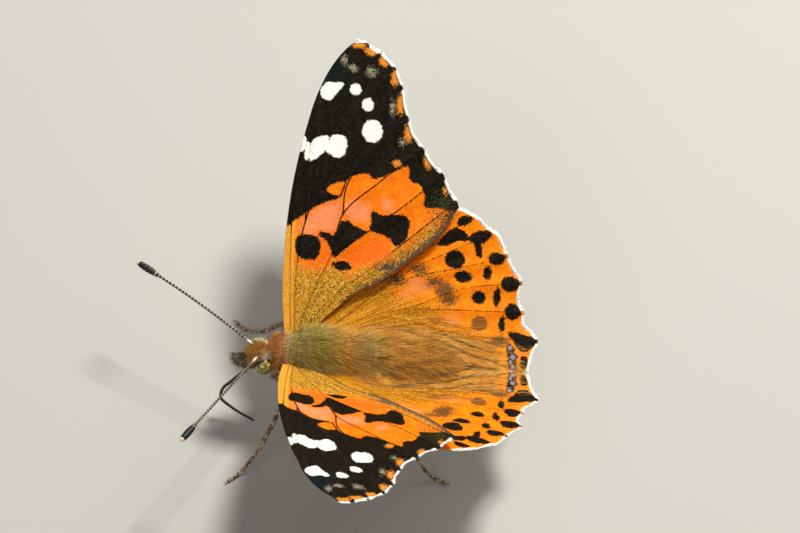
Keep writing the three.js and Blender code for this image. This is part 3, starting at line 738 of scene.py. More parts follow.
def hair_mesh(name, roots, ways, lengths, radii, sags, flat, colours, tones):
    """Joins a hair at each root into one mesh. Ways are unit vectors and sags bend the tips."""
    count, per = len(roots), len(HAIR_VERTS)
    side = unit(np.cross(ways, (0.31, 0.19, 0.93)))
    up = np.cross(side, ways)
    x, y, z = (HAIR_VERTS[:, i][None, :, None] for i in range(3))
    radius = np.asarray(radii)[:, None, None]
    length = np.asarray(lengths)[:, None, None]
    places = (
        roots[:, None, :]
        + radius * (x * side[:, None, :] + y * up[:, None, :])
        + length * z * ways[:, None, :]
        + length * z**2 * sags[:, None, :]
    ).reshape(-1, 3)
    places = (places + np.array([0, BACK_SHIFT, 0])) * MM
    faces = (HAIR_FACES[None] + per * np.arange(count)[:, None, None]).reshape(-1, 3)
    mesh = bpy.data.meshes.new(name)
    mesh.vertices.add(len(places))
    mesh.vertices.foreach_set("co", places.astype(np.float32).ravel())
    mesh.loops.add(faces.size)
    mesh.loops.foreach_set("vertex_index", faces.astype(np.int32).ravel())
    mesh.polygons.add(len(faces))
    mesh.polygons.foreach_set("loop_start", np.arange(0, faces.size, 3, dtype=np.int32))
    mesh.polygons.foreach_set("loop_total", np.full(len(faces), 3, np.int32))
    mesh.update(calc_edges=True)
    patch = HAIR_PATCH * (HAIR_VERTS[:, [0, 2]] * 0.45)
    spread = (flat[:, None, :] + patch[None]).reshape(-1, 2)
    unwrap = mesh.uv_layers.new(name="OFBake").data
    unwrap.foreach_set("uv", spread[faces.ravel()].astype(np.float32).ravel())
    store_colour(mesh, "coat_colour", np.repeat(colours, per, axis=0))
    store(mesh, "hair_tone", np.repeat(tones, per))
    store(mesh, "hair_height", np.tile(HAIR_VERTS[:, 2], count))
    return mesh


def surface_samples(shape, middle, count, chance, v_range):
    """Evenly strewn places on a shaped surface round its middle, as u, v, place and outward normal."""
    tries = count * 6
    u = chance.uniform(0, 1, tries)
    v = np.clip(chance.uniform(*v_range, tries), SHARE_STEP, 1 - SHARE_STEP)
    place = shape(u, v)
    du = (shape(u + SHARE_STEP, v) - shape(u - SHARE_STEP, v)) / (2 * SHARE_STEP)
    dv = (shape(u, v + SHARE_STEP) - shape(u, v - SHARE_STEP)) / (2 * SHARE_STEP)
    normal = np.cross(du, dv)
    area = np.linalg.norm(normal, axis=1)
    kept = np.flatnonzero(chance.uniform(0, np.quantile(area, 0.98), tries) < area)[:count]
    u, v, place, normal = u[kept], v[kept], place[kept], unit(normal[kept])
    points_out = np.mean(np.sum((place - middle(v, place)) * normal, axis=1)) >= 0
    return u, v, place, normal if points_out else -normal


def strewn_tube(path, shape, count, chance, v_range, stand):
    """Places strewn on a tube, as u, v, place and the way of a hair that leans along the tube."""
    u, v, roots, normals = surface_samples(shape, lambda v, place: along(path, v), count, chance, v_range)
    ways = unit(heading(path, v, 0.02) + stand * normals + chance.normal(0, 0.1, roots.shape))
    return u, v, roots, ways


# Materials. Each helper adds a node and returns its output.


def new_material(name, roughness, specular=0.3, sheen=0.0, coat=0.0):
    material = bpy.data.materials.new(name)
    material.use_nodes = True
    tree = material.node_tree
    shader = tree.nodes["Principled BSDF"]
    shader.inputs["Roughness"].default_value = roughness
    shader.inputs["Specular IOR Level"].default_value = specular
    shader.inputs["Sheen Weight"].default_value = sheen
    shader.inputs["Sheen Roughness"].default_value = 0.5
    shader.inputs["Coat Weight"].default_value = coat
    return material, tree, shader


def attribute(tree, name, output="Fac"):
    node = tree.nodes.new("ShaderNodeAttribute")
    node.attribute_name = name
    return node.outputs[output]


def feed(tree, socket, value):
    if isinstance(value, bpy.types.NodeSocket):
        tree.links.new(value, socket)
    elif isinstance(value, (int, float)):
        socket.default_value = value
    else:
        socket.default_value = (*value, 1.0)[: len(socket.default_value)]


def maths(tree, operation, first, second=0.0):
    node = tree.nodes.new("ShaderNodeMath")
    node.operation = operation
    feed(tree, node.inputs[0], first)
    feed(tree, node.inputs[1], second)
    return node.outputs[0]


def within(tree, value, inner, outer):
    """One where the value is below inner, zero where it is above outer."""
    node = tree.nodes.new("ShaderNodeMapRange")
    feed(tree, node.inputs["Value"], value)
    for name, number in (("From Min", inner), ("From Max", outer), ("To Min", 1.0), ("To Max", 0.0)):
        node.inputs[name].default_value = number
    return node.outputs["Result"]


def mixed(tree, share, under, over, blend_type="MIX"):
    node = tree.nodes.new("ShaderNodeMix")
    node.data_type = "RGBA"
    node.blend_type = blend_type
    feed(tree, node.inputs[0], share)
    feed(tree, node.inputs[6], under)
    feed(tree, node.inputs[7], over)
    return node.outputs[2]


def noise(tree, vector, scale, detail=3.0):
    node = tree.nodes.new("ShaderNodeTexNoise")
    feed(tree, node.inputs["Vector"], vector)
    node.inputs["Scale"].default_value = scale
    node.inputs["Detail"].default_value = detail
    return node.outputs["Fac"]


def stretched(tree, vector, scale):
    node = tree.nodes.new("ShaderNodeMapping")
    feed(tree, node.inputs["Vector"], vector)
    node.inputs["Scale"].default_value = scale
    return node.outputs["Vector"]


def cells(tree, vector, scale):
    """Random numbers that stay the same within each cell, as from single wing scales."""
    node = tree.nodes.new("ShaderNodeTexVoronoi")
    node.voronoi_dimensions = "2D"
    feed(tree, node.inputs["Vector"], vector)
    node.inputs["Scale"].default_value = scale
    apart = tree.nodes.new("ShaderNodeSeparateColor")
    tree.links.new(node.outputs["Color"], apart.inputs["Color"])
    return apart.outputs[0], apart.outputs[1], apart.outputs[2], node.outputs["Distance"]


def bumped(tree, shader, height, distance, strength=0.6):
    node = tree.nodes.new("ShaderNodeBump")
    node.inputs["Strength"].default_value = strength
    node.inputs["Distance"].default_value = distance
    tree.links.new(height, node.inputs["Height"])
    tree.links.new(node.outputs["Normal"], shader.inputs["Normal"])


def wing_material(name, colours, hind):
    """Upper and under side of a wing, from the distances kept on its vertices."""
    material, tree, shader = new_material(name, 0.65, 0.06)
    place = attribute(tree, "wing_place", "Vector")
    first, second, third, gap = cells(tree, stretched(tree, place, SCALES_PER_MM), 1.0)
    broad = noise(tree, place, 0.8, 2.0)
    fine = noise(tree, place, 2.6, 3.0)
    streak = noise(tree, attribute(tree, "wing_fan", "Vector"), 1.0, 3.0)

    def part_of(share, amount):
        return maths(tree, "MULTIPLY", share, amount)

    def swing(value, amount):
        return part_of(maths(tree, "SUBTRACT", value, 0.5), amount)

    jitter = maths(tree, "ADD", swing(first, 0.2), swing(fine, 0.16))

    def reach(mark, scale=1.0):
        return maths(tree, "ADD", attribute(tree, mark), part_of(jitter, scale))

    def cover(shade, value, inner, outer, over, amount=1.0):
        """The shade with a colour over it where the value is below inner, fading out up to outer."""
        over = colours[over] if isinstance(over, str) else over
        return mixed(tree, part_of(within(tree, value, inner, outer), amount), shade, over)

    shade = cover(colours["orange"], broad, 0.38, 0.62, "orange_deep")
    shade = cover(shade, third, 0.0, 0.3, "orange_pale", 0.25)
    shade = cover(shade, reach("pink", 3.0), -0.6, 0.25, "pink", 0.85)
    speck = cover(colours["gold"], streak, 0.42, 0.58, "gold_deep")
    speck = cover(speck, second, colours["dark_share"], colours["dark_share"] + 0.05, "gold_dark", 0.75)
    speck = cover(speck, third, colours["pale_share"], colours["pale_share"] + 0.05, "gold_pale", 0.7)
    shade = cover(shade, maths(tree, "ADD", reach("gold", 3.0), swing(third, 1.6)), -0.5, 0.6, speck)
    shade = cover(shade, reach("costal", 2.0), -0.4, 0.3, "orange_pale", 0.7)
    # On the forewing this lays painted shadow along the rear edge; on the hindwing it lays dusky marks.
    smoke = maths(tree, "ADD", reach("smoke", 2.0), swing(second, 0.5))
    shade = cover(shade, smoke, -0.2, 0.22, "smoke", 0.9)
    shade = cover(shade, maths(tree, "ADD", second, part_of(fine, 0.1)), 0.065, 0.075, "black_brown", 0.4)
    vein = within(tree, reach("vein", 0.1), *((0.03, 0.08) if hind else (0.05, 0.11)))
    dotted = part_of(vein, maths(tree, "ADD", within(tree, first, 0.5, 0.6), 0.45)) if hind else vein
    gilded = part_of(within(tree, reach("gold"), -0.6, 0.4), 0.6)
    shade = mixed(tree, part_of(dotted, maths(tree, "SUBTRACT", 1.0, gilded)), shade, colours["vein"])
    shade = cover(shade, reach("moss", 8.0), -1.2, 0.3, "black_green", within(tree, second, 0.45, 0.5))
    black = cover(colours["black"], fine, 0.4, 0.6, "black_brown")
    black = cover(black, second, 0.12, 0.16, "olive", 0.4)
    black = cover(black, reach("moss", 8.0), -1.4, 0.5, "moss", part_of(within(tree, third, 0.3, 0.4), 0.6))
    # Painted sheen: blue-green over the black near the tip.
    black = cover(black, reach("apex", 4.0), -1.2, 0.4, "apex", 0.6)
    black = mixed(tree, part_of(vein, 0.8), black, colours["black"])
    if hind:
        shade = cover(shade, reach("veiled"), -0.1, 0.1, "veil", 0.82)
    else:
        shade = cover(shade, reach("veiled", 3.0), -0.4, 0.3, "veil", 0.65)
    shade = cover(shade, reach("dark"), -0.04, 0.04, black)
    dusted = part_of(within(tree, first, 0.6, 0.7), 0.75)
    shade = cover(shade, reach("faint", 3.0), -0.2, 0.16, "faint", dusted)
    shade = cover(shade, reach("ember", 1.6), -0.05, 0.08, "ember")
    shade = cover(shade, reach("white", 0.9), 0.0, 0.07, "white")

    under = cover(colours["under"], broad, 0.4, 0.6, "under_dark")
    under = cover(under, fine, 0.44, 0.52, "under_mark", 0.55)
    under = cover(under, reach("dark"), -0.04, 0.06, "under_black", 0.0 if hind else 0.85)
    under = cover(under, reach("vein", 0.3), 0.06, 0.14, "under_vein")
    for ring, colour in ((0.72, "gold_pale"), (0.58, "black"), (0.34, "eyespot")):
        under = cover(under, reach("eyespot"), ring, ring + 0.06, colour)
    under = cover(under, reach("white"), -0.03, 0.05, "white")
    faces = []
    for face, rim_colour in ((shade, "black_brown"), (under, "gold_dark")):
        face = cover(face, reach("rim", 0.5), 0.1, 0.2, rim_colour, 0.0 if hind else 1.0)
        faces.append(cover(face, reach("lunule", 0.5), -0.02, 0.05, "fringe"))
    shade = mixed(tree, attribute(tree, "wing_under"), *faces)
    grey = mixed(tree, first, paint(130, 130, 130), paint(255, 255, 255))
    tree.links.new(mixed(tree, 0.35, shade, grey, "MULTIPLY"), shader.inputs["Base Color"])
    bumped(tree, shader, maths(tree, "ADD", gap, part_of(first, 0.6)), 0.00003, 0.4)
    return material


def hair_material(name):
    material, tree, shader = new_material(name, 0.55, 0.12)
    shade = attribute(tree, "coat_colour", "Color")
    tone = attribute(tree, "hair_tone")
    height = attribute(tree, "hair_height")
    # The first two rows make dark and pale hairs at random; the last darkens each hair towards its root, as
    # painted shade deep in the coat.
    for value, inner, outer, amount, over in (
        (tone, 0.05, 0.3, 0.55, paint(70, 46, 24)), (tone, 0.95, 0.7, 0.5, paint(240, 220, 170)),
        (height, 0.0, 0.5, 0.25, paint(80, 54, 28)),
    ):
        share = maths(tree, "MULTIPLY", within(tree, value, inner, outer), amount)
        shade = mixed(tree, share, shade, over)
    tree.links.new(shade, shader.inputs["Base Color"])
    return material


def skin_material(name):
    material, tree, shader = new_material(name, 0.6, 0.3, sheen=0.1)
    coordinates = tree.nodes.new("ShaderNodeTexCoord").outputs["Object"]
    grain = noise(tree, coordinates, 6000.0, 4.0)
    base = attribute(tree, "coat_colour", "Color")
    shade = mixed(tree, within(tree, grain, 0.35, 0.6), base, paint(70, 52, 32))
    tree.links.new(mixed(tree, 0.5, base, shade), shader.inputs["Base Color"])
    bumped(tree, shader, grain, 0.00008)
    return material


class ButterflySizes(bpy.types.PropertyGroup):
    """Sizes of the wings, hair and feelers that a user may change."""

    wing_thickness: FloatProperty(
        name="Wing thickness", description="Thickness of a wing's membrane",
        default=0.11 * MM, unit="LENGTH",
    )
    vein_height: FloatProperty(
        name="Vein height", description="How far the veins stand out of the membrane",
        default=0.035 * MM, unit="LENGTH",
    )
    fringe_length: FloatProperty(
        name="Fringe length", description="Length of the fringe on the wing margins",
        default=0.26 * MM, unit="LENGTH",
    )
    thorax_hairs: IntProperty(
        name="Thorax hairs", description="Number of hairs on the thorax",
        default=9000, min=100,
    )
    abdomen_hairs: IntProperty(
        name="Abdomen hairs", description="Number of hairs on the abdomen",
        default=7000, min=100,
    )
    head_hairs: IntProperty(
        name="Head hairs", description="Number of hairs on the head",
        default=2600, min=100,
    )
    antenna_radius: FloatProperty(
        name="Antenna radius", description="Radius of an antenna's shaft",
        default=0.135 * MM, unit="LENGTH",
    )
    club_radius: FloatProperty(
        name="Club radius", description="Radius of an antenna's club",
        default=0.38 * MM, unit="LENGTH",
    )


class ButterflyColours(bpy.types.PropertyGroup):
    """Colours of the wings and eyes."""

    orange: FloatVectorProperty(
        name="Orange", description="Main wing colour",
        subtype="COLOR", size=3, default=paint(250, 130, 10),
    )
    orange_deep: FloatVectorProperty(
        name="Deep orange", description="Deeper orange of the wings",
        subtype="COLOR", size=3, default=paint(244, 114, 6),
    )
    pink: FloatVectorProperty(
        name="Pink", description="Peach pink in the wing patches",
        subtype="COLOR", size=3, default=paint(252, 150, 100),
    )
    black: FloatVectorProperty(
        name="Black", description="Black of the wing marks",
        subtype="COLOR", size=3, default=paint(8, 6, 4),
    )
    white: FloatVectorProperty(
        name="White", description="White of the wing marks",
        subtype="COLOR", size=3, default=paint(250, 248, 240),
    )
    gold: FloatVectorProperty(
        name="Gold", description="Golden scales at the wing bases",
        subtype="COLOR", size=3, default=paint(212, 150, 30),
    )
    eye: FloatVectorProperty(
        name="Eye", description="Olive brown of the eyes",
        subtype="COLOR", size=3, default=paint(150, 130, 52),
    )


def wing_colours(chosen, hind):
    """A wing's colours, and how many of its scales at the base are dark and pale."""
    names = ("orange", "orange_deep", "pink", "black", "white", "gold")
    picked = {name: tuple(getattr(chosen, name)) for name in names}
    picked.update(
        # The grey-lilac of the forewing is painted shadow; the brown of the hindwing is its dusky marks.
        orange_pale=paint(255, 176, 60), smoke=paint(92, 68, 36) if hind else paint(70, 58, 60),
        gold_deep=paint(166, 98, 12) if hind else paint(178, 122, 24),
        gold_dark=paint(96, 62, 18) if hind else paint(70, 52, 20), gold_pale=paint(246, 206, 96),
        vein=paint(30, 16, 6), black_brown=paint(26, 20, 11), olive=paint(66, 56, 22),
        # Among these, the blue-green near the forewing's tip is painted sheen.
        moss=paint(92, 104, 50), apex=paint(8, 30, 32), faint=paint(196, 184, 150), ember=paint(226, 138, 38),
        black_green=paint(44, 52, 30), veil=paint(96, 68, 36) if hind else paint(250, 104, 30),
        fringe=paint(*FRINGE_PALE), eyespot=paint(96, 128, 140),
        dark_share=0.07 if hind else 0.26, pale_share=0.03 if hind else 0.16,
        under=paint(206, 176, 132) if hind else paint(240, 132, 92),
        under_dark=paint(150, 116, 78) if hind else paint(246, 150, 100),
        under_mark=paint(110, 84, 58) if hind else paint(250, 170, 120),
        under_black=paint(30, 22, 18), under_vein=paint(236, 226, 200) if hind else paint(226, 150, 90),
    )
    if hind:
        picked.update(
            orange=paint(250, 140, 8), orange_deep=paint(244, 126, 6), white=paint(132, 138, 172),
            pink=paint(250, 150, 84), gold=paint(210, 142, 24),
        )
    return picked


def mirrored(places, side):
    return places * np.array([side, 1, 1])


def unwrapped(wing, places):
    """Where wing places lie in the unwrap."""
    return (places[:, ::-1] - wing["corner"]) / UNWRAP_WIDTH


def build_wing(kind, side_name, sizes, material):
    wing, side = WINGS[kind], SIDES[side_name]
    bm = bmesh.new()
    across, lengthwise = wing["grid"]
    made = bmesh.ops.create_grid(bm, x_segments=across, y_segments=lengthwise, size=0.5)["verts"]
    start = np.array([vert.co[:2] for vert in made]) + 0.5
    share = 1 - (1 - start[:, 0]) ** 1.15
    places = wing_places(wing["plan"], share, start[:, 1])
    lower = bmesh.ops.extrude_face_region(bm, geom=bm.faces[:], use_keep_orig=True)["geom"]
    lower = [item for item in lower if isinstance(item, bmesh.types.BMVert)]
    if len(lower) != len(made):
        raise RuntimeError(f"{kind}_{side_name}: the wing's two faces don't match")
    order = {tuple(np.round(vert.co[:], 6)): number for number, vert in enumerate(made)}
    index_of = {vert: number for number, vert in enumerate(made)}
    lower_of = {vert: order[tuple(np.round(vert.co[:], 6))] for vert in lower}
    middle = wing["middle"](places)
    step = np.array([0, 0.05])
    along_out = wing["middle"](places + step) - wing["middle"](places - step)
    normal = unit(np.stack([-along_out[:, 2], np.zeros(len(places)), along_out[:, 0]], axis=1))
    vein = lines_distance(places, [along(path, np.linspace(0, 1, 24)) for path in wing["veins"]])
    vein = np.minimum(vein, FAR)
    pleat = PLEAT * np.cos(np.pi * np.clip(vein / PLEAT_REACH, 0, 1)) * np.clip(places[:, 1] / 4, 0, 1)
    lift = sizes.vein_height / MM * np.clip(1 - vein / VEIN_SWELL, 0, 1) + sizes.wing_thickness / MM / 2
    rim = line_distance(places, along(wing["plan"]["rim"], np.linspace(0, 1, 160)))
    taper = np.clip(0.35 + rim / 0.8, 0, 1)
    number_of = {**lower_of, **index_of}
    flat = unwrapped(wing, places)
    flats = {False: flat + UNWRAP_MARGIN, True: flat + np.array(wing["under_patch"]) + UNWRAP_MARGIN}
    uv = bm.loops.layers.uv.new("OFBake")
    for face in bm.faces:
        is_under = any(vert not in index_of for vert in face.verts)
        for loop in face.loops:
            loop[uv].uv = flats[is_under][number_of[loop.vert]]
    numbers = np.array([number_of[vert] for vert in bm.verts])
    under = np.array([1.0 if vert in lower_of else 0.0 for vert in bm.verts])
    height = pleat[numbers] + (1 - 2 * under) * (lift * taper)[numbers]
    whole = mirrored(middle[numbers] + normal[numbers] * height[:, None], side)
    for vert, place in zip(bm.verts, whole):
        vert.co = place
    bmesh.ops.recalc_face_normals(bm, faces=bm.faces)
    piece = finish_piece(f"scaled_{kind}_{side_name}", bm, material)
    mesh = piece.data
    marks = wing["marks"](places)
    marks.update(vein=vein, rim=rim)
    marks["eyespot"] = spots_distance(places, EYESPOTS[kind])
    for name, values in marks.items():
        store(mesh, name, values[numbers])
    store(mesh, "wing_under", under)
    kept = places[numbers]
    store(mesh, "wing_place", np.stack([kept[:, 0], kept[:, 1], 40.0 * under], axis=1))
    store(mesh, "wing_fan", np.stack([2.5 * share[numbers], 46.0 * start[numbers, 1], 7.0 * under], axis=1))
    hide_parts(f"{kind}_{side_name}")
    return piece


def build_fringe(kind, side_name, sizes, material, chance):
    """Short pale scales along the outer margin, shorter and dark where no pale rim is."""
    wing, side = WINGS[kind], SIDES[side_name]
    count = FRINGE_SCALES
    share = np.sort(chance.uniform(0, 1, count))
    rim = along(wing["plan"]["rim"], share)
    outward = heading(wing["plan"]["rim"], share, 0.01)[:, ::-1] * np.array([1, -1])
    outward *= np.sign(np.sum(outward * (rim - wing["centre"]), axis=1))[:, None]
    start = rim - 0.08 * outward
    length = sizes.fringe_length / MM * chance.uniform(0.75, 1.25, count)
    pale = wing["marks"](rim)["lunule"] < 0.03
    length = np.where(pale, length, 0.45 * length)
    end = start + outward * length[:, None] + chance.normal(0, 0.04, (count, 2))
    first, last = wing["middle"](start), wing["middle"](end)
    ways = unit(last - first)
    colours = np.where(pale[:, None], paint(*FRINGE_PALE), paint(*FRINGE_DARK))
    tones = chance.uniform(0.45, 0.6, count)
    mesh = hair_mesh(
        f"fringe_{kind}_{side_name}", mirrored(first, side), mirrored(ways, side), length + 0.05,
        np.full(count, 0.04), np.zeros((count, 3)), unwrapped(wing, start), colours, tones,
    )
    return finish_mesh(mesh, material)


def build_wing_hair(kind, side_name, material, chance):
    """Long silky hair that lies on the wing near its root and along its inner margin."""
    wing, side = WINGS[kind], SIDES[side_name]
    fore = kind == "forewing"
    count = 2600 if fore else 6500
    if fore:
        u = 0.02 + 0.17 * chance.uniform(0, 1, count) ** 1.6
        v = chance.uniform(0.05, 0.98, count)
    else:
        u = chance.uniform(0.02, 0.955, count)
        v = 1 - np.abs(chance.normal(0, 0.2, count)) * (0.4 + 0.6 * (1 - u))
        v = np.clip(v, 0.05, 0.995)
    start = wing_places(wing["plan"], u, v)
    ahead = unit(wing_places(wing["plan"], np.clip(u + 0.02, 0, 1), v) - start)
    if not fore:
        curl = np.sin(start[:, 0] * 0.9 + 1.5 * chance.uniform(0, 1, count))[:, None]
        drift = np.array([0.25, -0.16]) * chance.uniform(0, 1, (count, 1))
        ahead = unit(ahead + drift + np.array([0, 0.12]) * curl)
        midway = band(v, 0.86, 2.0, 0.08) * band(u, 0.55, 2.0, 0.1) * chance.uniform(0, 1, count)
        ahead = unit(ahead + np.array([0, -0.5]) * midway[:, None])
        near_tip = band(v, 0.92, 2.0, 0.05) * band(u, 0.8, 2.0, 0.05)
        ahead = unit(ahead + np.array([0, -0.9]) * near_tip[:, None])
    ahead = unit(ahead + chance.normal(0, 0.08, (count, 2)))
    length = chance.uniform(0.8, 1.6, count) if fore else chance.uniform(1.4, 2.8, count)
    length *= np.clip((1 - u) * 3, 0.3 if fore else 0.45, 1)
    end = start + ahead * length[:, None]
    first, last = wing["middle"](start), wing["middle"](end)
    up = np.array([0, 0, 1.0])
    first = first + 0.03 * up
    ways = unit(last - first + 0.12 * up * length[:, None])
    gold, pale, brown = paint(238, 162, 34), paint(252, 200, 92), np.array(paint(150, 88, 26))
    pick = chance.uniform(0, 1, count)
    colours = np.where((pick < 0.55)[:, None], gold, np.where((pick < 0.82)[:, None], pale, brown))
    lock = np.sin(start[:, 0] * 1.7 + start[:, 1] * 6.0) > 0.78
    colours = np.where((lock & (u > 0.3))[:, None] & (not fore), brown * 0.45, colours)
    mesh = hair_mesh(
        f"hair_{kind}_{side_name}", mirrored(first, side), mirrored(ways, side), length,
        chance.uniform(0.013, 0.022, count), np.tile((0, 0, -0.1), (count, 1)), unwrapped(wing, start),
        colours, chance.uniform(0, 1, count),
    )
    return finish_mesh(mesh, material)


COAT_STYLES = {
    "thorax": dict(length=(0.8, 1.35), radius=(0.016, 0.028), lift=0.5, scatter=0.35, v_range=(0.02, 0.93)),
    "abdomen": dict(length=(1.1, 1.9), radius=(0.015, 0.024), lift=0.2, scatter=0.14, v_range=(0.005, 0.985)),
    "head": dict(length=(0.45, 0.85), radius=(0.014, 0.024), lift=0.75, scatter=0.35, v_range=(0.02, 0.985)),
}


def build_coat(part, count, material, chance):
    shape, unwrap, grid = BODY_PARTS[part]
    style = COAT_STYLES[part]

    def middle(v, roots):
        return roots * np.array([0, 1, 0]) + np.array([0, 0, part_height(part)])

    u, v, roots, normals = surface_samples(shape, middle, count, chance, style["v_range"])
    kept = np.ones(len(roots), bool)
    if part == "head":
        for side in SIDES.values():
            eye = turn_head(mirrored([EYE_CENTRE], side))
            kept &= np.linalg.norm(roots - eye, axis=1) > EYE_RADIUS + 0.02
    if part == "thorax":
        kept &= chance.uniform(0, 1, len(roots)) > 0.5 * band(roots[:, 2], 0, THORAX_HEIGHT - 0.5)
    u, v, roots, normals = u[kept], v[kept], roots[kept], normals[kept]
    count = len(roots)
    rearward = np.tile((0.1, -0.6, 0.15) if part == "head" else (0, 1.0, 0), (count, 1))
    lift = style["lift"] * chance.uniform(0.6, 1.4, (count, 1))
    lengths = chance.uniform(*style["length"], count)
    if part == "thorax":
        collar = roots[:, 1] < -0.4
        lift[collar] = 1.5
        rearward[roots[:, 1] < -0.9] *= -0.6
        lengths = np.where(collar, lengths * 0.7, lengths)
        lengths *= 1 + 0.5 * band(roots[:, 1], 6.0, 9.5, 1.0)
    if part != "head":
        flank = band(normals[:, 2], 0.0, 0.85, 0.3) * band(roots[:, 1], 0.0, 30.0, 0.6)
        lengths = lengths * (1 + 0.6 * flank)
        rearward[:, 0] += 0.55 * np.sign(roots[:, 0]) * flank
        rearward[:, 2] += 0.25 * flank
    ways = unit(rearward + normals * lift + chance.normal(0, style["scatter"], (count, 3)) * 0.6)
    facing = np.sum(ways * normals, axis=1)
    ways = unit(ways + normals * np.clip(0.12 - facing, 0, None)[:, None])
    left, low, width, height = unwrap
    flat = np.stack([left + u * width, low + v * height], axis=1)
    colours = body_colour(part, roots, u)
    colours *= chance.uniform(0.75, 1.2, (count, 1))
    if part == "abdomen":
        lengths = lengths * (1 + 0.4 * band(v, 0.86, 2.0, 0.1))
        lock = np.sin(6.5 * np.abs(roots[:, 0]) + 1.7 * roots[:, 1]) > 0.74
        colours = np.where(lock[:, None], colours * 0.45, colours)
    mesh = hair_mesh(
        f"coat_{part}", roots - 0.03 * normals, ways, lengths, chance.uniform(*style["radius"], count),
        np.tile((0, 0.05, -0.14), (count, 1)), flat, colours, chance.uniform(0, 1, count),
    )
    return finish_mesh(mesh, material)


class BUTTERFLY_OT_wings(bpy.types.Operator):
    """Builds the four scaled wings with their fringes and hair."""

    bl_idname = "butterfly.wings"
    bl_label = "Wings"

    def execute(self, context):
        sizes, chosen = context.scene.butterfly_sizes, context.scene.butterfly_colours
        chance = np.random.default_rng(11)
        hair = hair_material("wing_hair")
        for kind in WINGS:
            hind = kind == "hindwing"
            material = wing_material(f"{kind}_scales", wing_colours(chosen, hind), hind)
            for side_name in SIDES:
                build_wing(kind, side_name, sizes, material)
                build_fringe(kind, side_name, sizes, hair, chance)
                build_wing_hair(kind, side_name, hair, chance)
        return {"FINISHED"}


class BUTTERFLY_OT_body(bpy.types.Operator):
    """Builds the skin of head, thorax and abdomen, and their hair."""

    bl_idname = "butterfly.body"
    bl_label = "Body and coat"

    def execute(self, context):
        sizes = context.scene.butterfly_sizes
        bm = bmesh.new()
        tint = bm.verts.layers.float_vector.new("tint")
        for part, (shape, unwrap, grid) in BODY_PARTS.items():
            verts = shaped_grid(bm, *grid, shape, unwrap)
            places = np.array([vert.co[:] for vert in verts])
            turn = np.arctan2(places[:, 2] - part_height(part), places[:, 0]) / (2 * np.pi)
            for vert, colour in zip(verts, body_colour(part, places, turn)):
                # Painted shadow: the skin is darker than its coat, as it lies under the hair.
                vert[tint] = SKIN_SHADOW_UNDER_HAIR * colour
        close_ends(bm)
        tints = np.array([vert[tint][:] for vert in bm.verts])
        piece = finish_piece("body_skin", bm, skin_material("body_skin"))
        store_colour(piece.data, "coat_colour", tints)
        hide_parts("thorax", "abdomen", "head")
        hair = hair_material("body_hair")
        chance = np.random.default_rng(5)
        for part in BODY_PARTS:
            build_coat(part, getattr(sizes, f"{part}_hairs"), hair, chance)
        return {"FINISHED"}


def eye_material(colour):
    material, tree, shader = new_material("eye", 0.22, 0.5, coat=0.4)
    coordinates = tree.nodes.new("ShaderNodeTexCoord").outputs["Object"]
    facets = cells(tree, stretched(tree, coordinates, (16000, 16000, 16000)), 1.0)
    mottle = noise(tree, coordinates, 1500.0, 2.0)
    shade = mixed(tree, within(tree, mottle, 0.42, 0.58), colour, paint(112, 88, 34))
    for name, inner, outer, over in (
        ("eye_ring", 0.2, 0.27, paint(74, 54, 22)), ("eye_ring", 0.14, 0.19, paint(206, 190, 92)),
        ("eye_ring", 0.06, 0.09, paint(30, 20, 10)), ("eye_edge", 0.16, 0.26, paint(40, 28, 16)),
    ):
        shade = mixed(tree, within(tree, attribute(tree, name), inner, outer), shade, over)
    tree.links.new(shade, shader.inputs["Base Color"])
    bumped(tree, shader, facets[3], 0.00002, 0.3)
    return material


class BUTTERFLY_OT_eyes(bpy.types.Operator):
    """Builds the two glossy eyes."""

    bl_idname = "butterfly.eyes"
    bl_label = "Eyes"

    def execute(self, context):
        material = eye_material(tuple(context.scene.butterfly_colours.eye))
        for side_name, side in SIDES.items():
            bm = bmesh.new()
            bmesh.ops.create_uvsphere(bm, u_segments=40, v_segments=24, radius=EYE_RADIUS)
            bmesh.ops.rotate(bm, verts=bm.verts, matrix=Matrix.Rotation(math.pi / 2, 3, "Y"))
            bmesh.ops.scale(bm, verts=bm.verts, vec=(0.88, 0.96, 1))
            local = np.array([vert.co[:] for vert in bm.verts])
            placed = turn_head(local + mirrored(EYE_CENTRE, side))
            for vert, place in zip(bm.verts, placed):
                vert.co = place
            piece = finish_piece(f"glossy_eye_{side_name}", bm, material)
            facing = unit(local)
            spots = unit(mirrored(PSEUDOPUPILS, side))
            rings = [np.linalg.norm((facing - spot) * np.array([1.0, 0.55, 1.0]), axis=1) for spot in spots]
            store(piece.data, "eye_ring", np.min(rings, axis=0))
            store(piece.data, "eye_edge", side * facing[:, 0])
            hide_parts(f"eye_{side_name}")
        return {"FINISHED"}


def antenna_path(side):
    level = math.cos(ANTENNA_RISE)
    way = (math.sin(ANTENNA_SPREAD) * level, -math.cos(ANTENNA_SPREAD) * level, math.sin(ANTENNA_RISE))
    root, bend, way = mirrored([ANTENNA_ROOT, ANTENNA_BEND, way], side)
    shares = np.linspace(0, 1, 9)[:, None]
    return turn_head(root + shares * ANTENNA_LENGTH * way + np.sin(np.pi * shares) * bend)


def palp_radius(share):
    tip = np.sqrt(np.clip((1 - share) / 0.06, 0, 1))
    return (0.3 + 0.16 * np.sin(np.pi * share) - 0.16 * share) * tip


def proboscis_radius(share):
    tip = np.sqrt(np.clip((1 - share) / 0.02, 0, 1))
    return (0.2 - 0.07 * share) * (1 + 0.04 * np.cos(np.pi * 60 * share)) * tip


